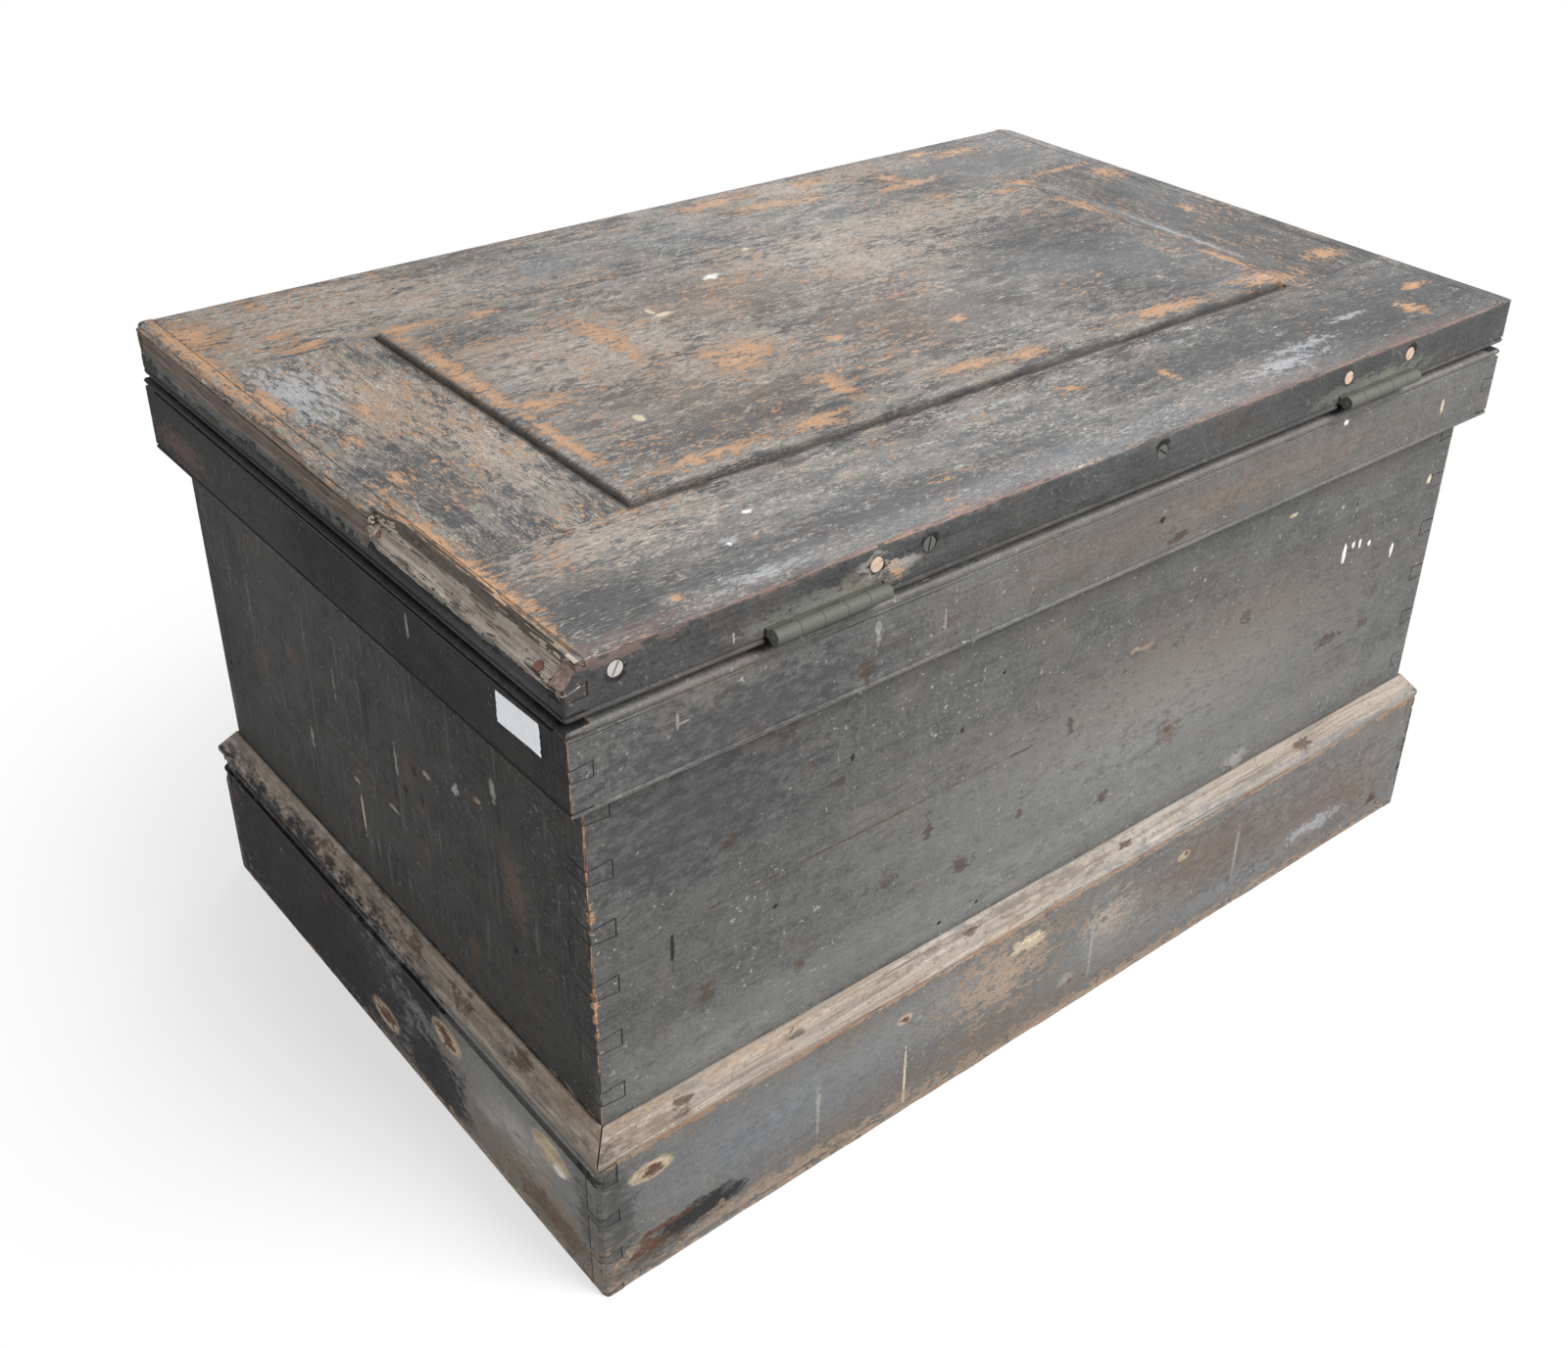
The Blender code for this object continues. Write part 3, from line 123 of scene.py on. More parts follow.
class Graph:
    """Adds nodes to one node tree and links them; it takes values, sockets and constants."""

    def __init__(self, tree: bpy.types.NodeTree) -> None:
        """Starts on the node tree of a material or a group.

        Args:
            tree: The node tree of a material or a group.
        """
        self.tree = tree
        self.given: Values = {}
        self.out: Inputs | None = None

    def node(self, kind: str, *given: object, **settings: object) -> Node:
        """Adds a node.

        Args:
            kind: The node's type without its ShaderNode prefix.
            *given: What its first inputs are linked or set to.
            **settings: Properties of the node.

        Returns:
            The new node.
        """
        made = self.tree.nodes.new("ShaderNode" + kind)
        for name, value in settings.items():
            setattr(made, name, value)
        for socket, value in zip(made.inputs, given):
            self.feed(socket, value)
        return made

    def feed(self, socket: Socket, value: object) -> None:
        """Links an input to what gives its value, or sets its own value.

        Args:
            socket: The input.
            value: A value, a socket or a constant.
        """
        value = getattr(value, "socket", value)
        if isinstance(value, Socket):
            self.tree.links.new(value, socket)
        elif socket.type == "RGBA" and len(value) == 3:
            socket.default_value = (*value, 1.0)
        else:
            socket.default_value = value

    def give(self, name: str, value: object) -> None:
        """Gives one of the group's outputs."""
        self.feed(self.out[name], value)

    def math(self, operation: str, a: object, b: object = 0.0) -> Value:
        """Calculates one number from two."""
        return Value(self, self.node("Math", a, b, operation=operation).outputs[0])

    def vector(self, operation: str, a: object, b: object = (0.0, 0.0, 0.0)) -> Value:
        """Calculates with two vectors."""
        made = self.node("VectorMath", a, b, operation=operation)
        return Value(self, made.outputs["Value" if operation == "LENGTH" else "Vector"])

    def parts(self, vector: object) -> list[Value]:
        """Splits a vector into its three numbers."""
        return [Value(self, part) for part in self.node("SeparateXYZ", vector).outputs]

    def noise(self, vector: object, scale: float, detail: float = 3.0, rough: float = 0.5,
              bend: float = 0.0) -> Value:
        """Gives a smooth noise from 0 to 1 over the surface.

        Args:
            vector: Where the point is.
            scale: How many waves it has to a unit.
            detail: How many finer waves lie on them.
            rough: How strong the finer waves are.
            bend: How far they are bent.

        Returns:
            The noise.
        """
        made = self.node("TexNoise")
        for name, value in (("Vector", vector), ("Scale", scale), ("Detail", detail), ("Roughness", rough),
                            ("Distortion", bend)):
            self.feed(made.inputs[name], value)
        return Value(self, made.outputs["Fac"])

    def span(self, value: object, low: object, high: object, start: object = 0.0,
             end: object = 1.0) -> Value:
        """Maps the range from low to high to the one from start to end, with soft ends."""
        made = self.node("MapRange", value, low, high, start, end, interpolation_type="SMOOTHSTEP")
        return Value(self, made.outputs[0])

    def mix(self, share: object, a: object, b: object) -> Value:
        """Mixes two colours.

        Args:
            share: How much of the second one there is.
            a: The first colour.
            b: The second colour.

        Returns:
            The mixed colour.
        """
        made = self.node("Mix", data_type="RGBA")
        for index, given in ((0, share), (6, a), (7, b)):
            self.feed(made.inputs[index], given)
        return Value(self, made.outputs[2])

    def between(self, share: object, a: object, b: object) -> Value:
        """Mixes two numbers, as mix does with colours.

        Args:
            share: How much of the second one there is.
            a: The first one.
            b: The second one.

        Returns:
            The mixed number.
        """
        made = self.node("Mix", data_type="FLOAT")
        for index, given in ((0, share), (2, a), (3, b)):
            self.feed(made.inputs[index], given)
        return Value(self, made.outputs[0])

    def join(self, x: object, y: object, z: object) -> Value:
        """Makes a vector of three numbers."""
        return Value(self, self.node("CombineXYZ", x, y, z).outputs[0])

    def stretch(self, vector: object, scale: object) -> Value:
        """Scales a vector's three parts."""
        return self.vector("MULTIPLY", vector, scale)

    def effect(self, group: "Effect", **values: object) -> Values:
        """Places a shared effect.

        Args:
            group: The effect to place.
            **values: What its inputs are linked or set to.

        Returns:
            Its outputs by their names.
        """
        made = self.node("Group", node_tree=group.tree())
        for name, value in values.items():
            self.feed(made.inputs[name], value)
        return self.named(made)

    def shader(self) -> Node:
        """Finds the material's Principled shader."""
        return self.tree.nodes["Principled BSDF"]

    def named(self, node: Node) -> Values:
        """Lists a node's outputs by their names."""
        return {socket.name: Value(self, socket) for socket in node.outputs}


@dataclass(frozen=True)
class Effect:
    """A shader node group that several finishes share."""

    name: str
    draw: Callable[[Graph], None]  # fills the group's tree, from what it is given to what it gives
    inputs: dict[str, float | tuple[float, float, float]]  # its inputs with their own values
    numbers: tuple[str, ...]  # the names of the numbers that it gives
    vectors: tuple[str, ...] = ()  # the names of the vectors that it gives

    def tree(self) -> bpy.types.NodeTree:
        """Builds the group's node tree at its first use.

        Returns:
            The node tree.
        """
        tree = bpy.data.node_groups.get(self.name)
        if not tree:
            tree = bpy.data.node_groups.new(self.name, "ShaderNodeTree")
            for name, value in self.inputs.items():
                kind = "NodeSocketVector" if isinstance(value, tuple) else "NodeSocketFloat"
                tree.interface.new_socket(name, in_out="INPUT", socket_type=kind).default_value = value
            for name in (*self.vectors, *self.numbers):
                kind = "NodeSocketVector" if name in self.vectors else "NodeSocketFloat"
                tree.interface.new_socket(name, in_out="OUTPUT", socket_type=kind)
            g = Graph(tree)
            g.given = g.named(tree.nodes.new("NodeGroupInput"))
            g.out = tree.nodes.new("NodeGroupOutput").inputs
            self.draw(g)
        return tree


def draw_board_frame(g: Graph) -> None:
    """Reads where a point lies on its own board: along, across and through the wood.

    Args:
        g: The group's graph.
    """
    wood = g.node("Attribute", attribute_name="wood").outputs["Vector"]
    half = g.node("Attribute", attribute_name="half").outputs["Vector"]
    plank = g.node("Attribute", attribute_name="plank").outputs["Fac"]
    offset = g.stretch(g.join(plank, plank, plank), (7.31, 3.17, 1.73))
    g.give("Grain", g.vector("ADD", wood, offset))
    x, y, _ = g.parts(g.vector("SUBTRACT", half, g.vector("ABSOLUTE", wood)))
    outer = g.parts(half)[2] - g.parts(wood)[2]
    second = g.math("MINIMUM", g.math("MAXIMUM", x, y), outer)
    g.give("Arris", g.math("MAXIMUM", g.math("MINIMUM", x, y), second))
    g.give("Outer", outer)
    g.give("Inside", g.math("LESS_THAN", g.parts(wood)[2] + g.parts(half)[2], 0.00015))
    g.give("Place", g.node("TexCoord").outputs["Object"])


BOARD_FRAME = Effect("Board frame", draw_board_frame, {}, ("Arris", "Outer", "Inside"), ("Grain", "Place"))


def draw_wood_grain(g: Graph) -> None:
    """Draws fibres along the board, its growth rings and the thin dark checks between fibres.

    Args:
        g: The group's graph.
    """
    vector = g.given["Vector"]
    sway = g.noise(g.stretch(vector, (2.2, 9, 9)), 1, 2)
    swayed = g.vector("ADD", vector, g.join(0, (sway - 0.5) * g.given["Sway"], 0))
    fine = g.stretch(swayed, g.join(g.given["Run"], g.given["Fineness"], g.given["Fineness"]))
    g.give("Fibre", g.span(g.noise(fine, 1, 5, 0.62), 0.28, 0.72))
    across = g.parts(swayed)
    square = g.math("POWER", across[2] + 0.09, 2) + g.math("POWER", across[1] + 0.01, 2)
    radius = g.math("SQRT", square) * g.given["Rings"]
    wobble = g.noise(g.stretch(swayed, (1.4, 14, 14)), 1, 3) * 5
    g.give("Ring", g.math("POWER", g.math("FRACT", radius + wobble), 2.5))
    checks = g.noise(g.stretch(fine, (0.7, 1.6, 1.6)), 1, 2, 0.4)
    g.give("Check", g.span(checks, 0.3, 0.22))


WOOD_GRAIN = Effect("Wood grain", draw_wood_grain,
                    {"Vector": (0, 0, 0), "Fineness": 420, "Run": 9, "Rings": 160, "Sway": 0.006},
                    ("Fibre", "Ring", "Check"))


def draw_mottle(g: Graph) -> None:
    """Draws uneven colour at three sizes: broad clouds, blotches and fine specks.

    Args:
        g: The group's graph.
    """
    vector = g.given["Vector"]
    g.give("Cloud", g.span(g.noise(vector, 5.5, 3, 0.55, 0.4), 0.3, 0.7))
    g.give("Blotch", g.span(g.noise(vector, 34, 4, 0.6, 0.8), 0.36, 0.66))
    g.give("Grit", g.span(g.noise(vector, 330, 5, 0.72), 0.28, 0.72))
    many = g.span(g.noise(vector, 7, 3, 0.6), 0.35, 0.65, 0.035, -0.02)
    flakes = g.noise(vector, 210, 3, 0.62, 0.5)
    g.give("Fleck", g.span(flakes - many, 0.655, 0.685))
    g.give("Pit", g.span(g.noise(vector, 120, 4, 0.62, 0.3) + many, 0.325, 0.285))


MOTTLE = Effect("Mottle", draw_mottle, {"Vector": (0, 0, 0)}, ("Cloud", "Blotch", "Grit", "Fleck", "Pit"))


def draw_scratches(g: Graph) -> None:
    """Draws thin scratches that run in a few directions and fade along their length.

    Args:
        g: The group's graph.
    """
    total = None
    for turn, scale in ((0.5, (8, 260, 90)), (-0.9, (10, 210, 120)), (1.45, (7, 300, 80))):
        node = g.node("VectorRotate", g.given["Vector"], rotation_type="EULER_XYZ")
        node.inputs["Rotation"].default_value = (turn, turn * 0.7, turn)
        spun = node.outputs[0]
        lines = g.noise(g.stretch(spun, scale), 1, 1, 0.4)
        broken = g.span(g.noise(spun, 17, 2), 0.56, 0.8)
        streak = g.span(g.math("ABSOLUTE", lines - 0.5), 0.012, 0) * broken
        total = streak if total is None else g.math("MAXIMUM", total, streak)
    g.give("Scratch", total)


SCRATCHES = Effect("Scratches", draw_scratches, {"Vector": (0, 0, 0)}, ("Scratch",))


def draw_worn_arris(g: Graph) -> None:
    """Lays wood bare where hands and knocks wear paint off the arrises of a board.

    Args:
        g: The group's graph.
    """
    vector = g.given["Vector"]
    ragged = g.noise(vector, 130, 4, 0.65)
    width = g.given["Width"] * g.span(g.noise(vector, 16, 3, 0.6), 0.3, 0.75, 0.05, 1.9)
    edge = g.given["Distance"] + (ragged - 0.5) * (g.given["Width"] * 2.2)
    g.give("Bare", g.math("LESS_THAN", edge, width))
    g.give("Rubbed", g.span(g.math("DIVIDE", edge, g.given["Width"]), 5, 0))


WORN_ARRIS = Effect("Worn arris", draw_worn_arris, {"Vector": (0, 0, 0), "Distance": 0.01, "Width": 0.001},
                    ("Bare", "Rubbed"))


def draw_mark(g: Graph) -> None:
    """Draws one placed mark as an oval field with a torn edge.

    Args:
        g: The group's graph.
    """
    away = g.vector("DIVIDE", g.vector("SUBTRACT", g.given["Vector"], g.given["Centre"]), g.given["Radii"])
    far = g.vector("LENGTH", away) + g.given["Torn"]
    g.give("Mark", g.span(far, 1 + g.given["Soft"], 1 - g.given["Soft"]))


MARK = Effect("Placed mark", draw_mark,
              {"Vector": (0, 0, 0), "Centre": (0, 0, 0), "Radii": (1, 1, 1), "Soft": 0.3, "Torn": 0},
              ("Mark",))


def draw_field_edge(g: Graph) -> None:
    """Measures how far a point lies outside a rectangle on the lid, less than 0 inside it.

    Args:
        g: The group's graph.
    """
    away = g.vector("ABSOLUTE", g.vector("SUBTRACT", g.given["Vector"], g.given["Centre"]))
    x, y, _ = g.parts(g.vector("SUBTRACT", away, g.given["Half"]))
    g.give("Beyond", g.math("MAXIMUM", x, y))


FIELD_EDGE = Effect("Field edge", draw_field_edge,
                    {"Vector": (0, 0, 0), "Centre": (0, 0, 0), "Half": (1, 1, 1)}, ("Beyond",))


class Stain(Enum):
    """What a placed mark is: its colour, how much it covers, its softness, how torn its edge is, and whether
    it is broad and lies in the paint itself, below the flecks where the paint is gone."""

    SMOKE = ((0.056, 0.057, 0.059), 0.75, 0.6, 1.6, True)
    UMBER = ((0.155, 0.12, 0.098), 0.6, 0.6, 1.6, True)
    BLUE = ((0.185, 0.198, 0.212), 0.6, 0.6, 1.6, True)
    DUST = ((0.25, 0.252, 0.24), 0.5, 0.8, 1.2, True)
    GRIME = ((0.045, 0.043, 0.04), 0.7, 0.5, 1.2, True)
    GREEN = ((0.175, 0.18, 0.15), 0.75, 0.4, 1.4, True)
    RUDDY = ((0.14, 0.09, 0.066), 0.55, 0.55, 1.8, True)
    SCORCH = ((0.017, 0.016, 0.017), 0.96, 0.28, 0.7, True)
    ROSY = ((0.44, 0.37, 0.31), 0.7, 0.15, 4.2, True)
    CHALK = ((0.44, 0.455, 0.47), 0.7, 0.2, 4.2, False)
    TAN = ((0.37, 0.275, 0.2), 0.75, 0.2, 3, True)
    PINK = ((0.19, 0.13, 0.115), 0.6, 0.2, 3.6, True)
    FRESH = ((0.5, 0.3, 0.175), 0.95, 0.06, 3.2, False)
    BROWN = ((0.075, 0.052, 0.038), 0.75, 0.25, 1.8, False)
    HALO = ((0.43, 0.34, 0.24), 0.92, 0.14, 0.35, False)
    KNOT = ((0.09, 0.045, 0.03), 0.95, 0.35, 1.1, False)
    RUST = ((0.1, 0.046, 0.028), 0.85, 0.3, 1.2, False)
    PALE = ((0.34, 0.32, 0.29), 0.7, 0.3, 1.6, False)
    CREAM = ((0.56, 0.47, 0.34), 0.95, 0.15, 1, False)
    WHITE = ((0.78, 0.76, 0.7), 0.97, 0.1, 1.8, False)
    PIT = ((0.014, 0.013, 0.012), 0.95, 0.25, 0.9, False)

    def __init__(self, colour: Colour, cover: float, soft: float, tear: float, broad: bool) -> None:
        """Names the parts of the value."""
        self.colour, self.cover, self.soft, self.tear, self.broad = colour, cover, soft, tear, broad


class Face(Enum):
    """A face of the chest: the axes that its marks are placed by, its own axis and its level there."""

    TOP = (0, 1, 2, 549.0)
    BACK = (0, 2, 1, WALLS[1])
    END = (1, 2, 0, WALLS[0])
    LID_BACK = (0, 2, 1, 315.5)
    LID_END = (1, 2, 0, 482.0)
    BASE_BACK = (0, 2, 1, PLINTH[1])
    BASE_END = (1, 2, 0, PLINTH[0])
    SILL_BACK = (0, 2, 1, 308.0)
    SILL_END = (1, 2, 0, 474.0)

    def __init__(self, across: int, up: int, out: int, level: float) -> None:
        """Names the parts of the value."""
        self.across, self.up, self.out, self.level = across, up, out, level


@dataclass(frozen=True)
class Mark:
    """A stain at one place on the chest, in millimetres from the chest's middle."""

    stain: Stain
    centre: tuple[float, float, float]  # its middle
    radii: tuple[float, float, float]  # how far it reaches along X, Y and Z

    def touches(self, low: Vector, high: Vector) -> bool:
        """Says whether the mark reaches a box.

        Args:
            low: The box's lowest corner.
            high: The box's highest corner.

        Returns:
            Whether it does.
        """
        middle = from_chest(*self.centre)
        reach = [r * MM * 1.4 for r in self.radii]
        return all(low[i] - reach[i] < middle[i] < high[i] + reach[i] for i in range(3))

    def turned(self) -> "Mark":
        """Returns the same mark on the opposite side of the chest."""
        x, y, z = self.centre
        return replace(self, centre=(-x, -y, z))


def marks_on(face: Face, stains: dict[Stain, tuple[tuple[float, ...], ...]]) -> list[Mark]:
    """Places marks on a face.

    Args:
        face: The face.
        stains: For each stain its marks: two coordinates on the face and two radii there.

    Returns:
        The marks.
    """
    made = []
    for stain, rows in stains.items():
        for u, v, reach_u, reach_v in rows:
            centre, radii = [face.level] * 3, [9.0] * 3
            centre[face.across], centre[face.up] = u, v
            radii[face.across], radii[face.up] = reach_u, reach_v
            made.append(Mark(stain, tuple(centre), tuple(radii)))
    return made


def mark_mask(g: Graph, marks: Iterable[Mark], stain: Stain, place: Value, ragged: Value) -> object:
    """Draws all marks of one kind as one mask.

    Args:
        g: The material's graph.
        marks: The marks.
        stain: The kind that is drawn.
        place: Where the point is in the chest's frame.
        ragged: A noise that tears the marks' edges.

    Returns:
        The mask, or 0 where there is no such mark.
    """
    own = [mark for mark in marks if mark.stain is stain]
    if not own:
        return 0
    torn = (ragged - 0.5) * stain.tear
    masks = [g.effect(MARK, Vector=place, Centre=tuple(from_chest(*mark.centre)),
                      Radii=tuple(r * MM for r in mark.radii), Soft=stain.soft, Torn=torn)["Mark"]
             for mark in own]
    return reduce(partial(g.math, "MAXIMUM"), masks)


def add_marks(g: Graph, marks: Iterable[Mark], place: object, ragged: object, colour: object,
              height: object, lift: float = 0, broad: bool | None = None) -> tuple[object, object]:
    """Paints placed marks over a colour.

    Args:
        g: The material's graph.
        marks: The marks, painted in the order of their kinds.
        place: Where the point is in the chest's frame.
        ragged: A noise that tears the marks' edges.
        colour: The colour below.
        height: A number that the marks make smaller where they lay the wood bare.
        lift: How much of the height the marks take away.
        broad: Whether only the broad stains or only the others are painted, where it matters.

    Returns:
        The new colour and the new height.
    """
    for stain in Stain:
        mask = mark_mask(g, marks, stain, place, ragged) if broad in (None, stain.broad) else 0
        if mask:
            tone = g.mix(ragged, scaled(stain.colour, 0.62), scaled(stain.colour, 1.35))
            colour = g.mix(mask * stain.cover, colour, tone)
            if stain in (Stain.FRESH, Stain.TAN, Stain.PIT) and lift:
                height = height - mask * lift
    return colour, height


@dataclass(frozen=True)
class Finish:
    """What every finish has: a name, and a shader that its subclass fills."""

    name: str

    def material(self) -> bpy.types.Material:
        """Makes the finish's material at its first use.

        Returns:
            The material.
        """
        made = bpy.data.materials.get(self.name)
        if not made:
            made = bpy.data.materials.new(self.name)
            made.use_nodes = True
            self.dress(Graph(made.node_tree))
        return made

    def dress(self, g: Graph) -> None:
        """Fills the material's node tree.

        Args:
            g: The material's graph.
        """
        raise NotImplementedError

    def finish_shader(self, g: Graph, colour: Value, rough: object, height: Value, relief: float,
                      gloss: float = 0.16) -> None:
        """Links colour, roughness and relief to the material's shader.

        Args:
            g: The material's graph.
            colour: Its colour.
            rough: Its roughness.
            height: How high the surface stands.
            relief: How strongly that shows, in metres.
            gloss: How strongly it mirrors.
        """
        shader = g.shader()
        shader.inputs["Specular IOR Level"].default_value = gloss
        g.feed(shader.inputs["Base Color"], colour)
        g.feed(shader.inputs["Roughness"], rough)
        bump = g.node("Bump")
        bump.inputs["Distance"].default_value = relief
        g.feed(bump.inputs["Height"], height)
        g.feed(shader.inputs["Normal"], bump.outputs[0])


def wood_colour(g: Graph, grain: Values, early: Colour, late: Colour, check: Colour) -> Value:
    """Colours bare wood by its rings, fibres and checks."""
    tone = grain["Ring"] * 0.45 + grain["Fibre"] * 0.55
    return g.mix(grain["Check"] * 0.7, g.mix(tone, late, early), check)


@dataclass(frozen=True)
class PaintedWood(Finish):
    """Old dark paint over pine, rubbed and knocked at the arrises and bare inside."""

    dark: Colour = (0.05, 0.052, 0.052)
    light: Colour = (0.19, 0.187, 0.178)
    warm: Colour = (0.165, 0.128, 0.102)  # the brown that shows where it is thin
    arris: float = 0.0012  # how wide the arrises are worn
    thin: float = 0.35  # how much of the brown shows through, from 0 to 1
    flecks: float = 0.7  # how strongly pale specks show, from 0 to 1
    pits: float = 0.75  # how strongly dark pits show, from 0 to 1
    streaks: float = 0.0  # how strongly dust has run down it, from 0 to 1
    bare_above: float | None = None  # the height from which the paint is gone, where it is
    gloss: float = 0.16  # how strongly it mirrors
    marks: tuple[Mark, ...] = ()

    def dress(self, g: Graph) -> None:
        """Fills the material's node tree.

        Args:
            g: The material's graph.
        """
        board = g.effect(BOARD_FRAME)
        place = board["Place"]
        grain = g.effect(WOOD_GRAIN, Vector=board["Grain"], Fineness=330, Run=9)
        mottle = g.effect(MOTTLE, Vector=place)
        worn = g.effect(WORN_ARRIS, Vector=place, Distance=board["Arris"], Width=self.arris)
        scratch = g.effect(SCRATCHES, Vector=place)["Scratch"]
        tone = mottle["Cloud"] * 0.16 + mottle["Blotch"] * 0.2
        tone = tone + mottle["Grit"] * 0.42
        tone = tone + grain["Fibre"] * 0.22
        colour = g.mix(tone, self.dark, self.light)
        thin = g.span(g.noise(place, 13, 6, 0.68), 0.5, 0.68, 0, self.thin)
        colour = g.mix(thin, colour, self.warm)
        colour = g.mix(grain["Check"] * 0.45, colour, scaled(self.dark, 0.4))
        colour = g.mix(worn["Rubbed"] * 0.25, colour, self.warm)
        colour = g.mix(scratch * 0.5, colour, (0.33, 0.32, 0.3))
        colour = g.mix(mottle["Fleck"] * self.flecks, colour, scaled(self.light, 2.1))
        colour = g.mix(mottle["Pit"] * self.pits, colour, (0.022, 0.018, 0.015))
        if self.streaks:
            runs = g.noise(g.stretch(place, (190, 190, 13)), 1, 4, 0.66)
            colour = g.mix(g.span(runs, 0.56, 0.72, 0, self.streaks), colour, scaled(self.light, 1.7))
            colour = g.mix(g.span(runs, 0.42, 0.3, 0, self.streaks), colour, scaled(self.dark, 0.5))
        height = grain["Fibre"] * 0.3 - scratch * 0.4
        height = height + mottle["Grit"] * 0.35
        height = height - mottle["Pit"] * 0.5
        ragged = g.span(g.noise(g.stretch(board["Grain"], (85, 150, 150)), 1, 7, 0.72), 0.32, 0.68)
        colour, height = add_marks(g, self.marks, place, ragged, colour, height, 0.5)
        bare = wood_colour(g, grain, (0.4, 0.245, 0.16), (0.2, 0.115, 0.075), (0.05, 0.03, 0.02))
        colour = g.mix(worn["Bare"], colour, bare)
        if self.bare_above is not None:
            colour = self.wear_top(g, grain, place, ragged, colour)
        pine = wood_colour(g, grain, (0.42, 0.27, 0.145), (0.27, 0.15, 0.07), (0.1, 0.05, 0.03))
        colour = g.mix(board["Inside"], colour, pine)
        rough = g.between(board["Inside"], g.span(mottle["Cloud"], 0, 1, 0.5, 0.66), 0.6)
        self.finish_shader(g, colour, rough, height, 0.0006, self.gloss)

    def wear_top(self, g: Graph, grain: Values, place: object, ragged: object, colour: object) -> Value:
        """Lays the wood bare above a height, with a pale torn edge of paint below it.

        Args:
            g: The material's graph.
            grain: The wood's grain.
            place: Where the point is.
            ragged: A noise that tears edges.
            colour: The colour below.

        Returns:
            The new colour.
        """
        wander = (g.noise(place, 26, 5, 0.7) - 0.5) * 0.038
        level = g.parts(place)[2] + wander
        level = level + g.span(g.parts(place)[1], 0.284, 0.296, 0, -0.04)
        level = level + (ragged - 0.5) * 0.004
        level = level + (grain["Fibre"] - 0.5) * 0.004
        level = level + g.span(g.parts(place)[1], 0.066, 0.08, 0, -0.005)
        rim = g.span(level, self.bare_above - 0.0042, self.bare_above - 0.003)
        open_wood = g.span(level, self.bare_above - 0.0002, self.bare_above + 0.0003)
        colour = g.mix(rim * 0.7, colour, (0.125, 0.134, 0.134))
        lines = g.effect(WOOD_GRAIN, Vector=g.effect(BOARD_FRAME)["Grain"], Fineness=520, Run=30)
        eroded = wood_colour(g, lines, (0.235, 0.185, 0.155), (0.06, 0.046, 0.038), (0.01, 0.009, 0.008))
        return g.mix(open_wood, colour, eroded)


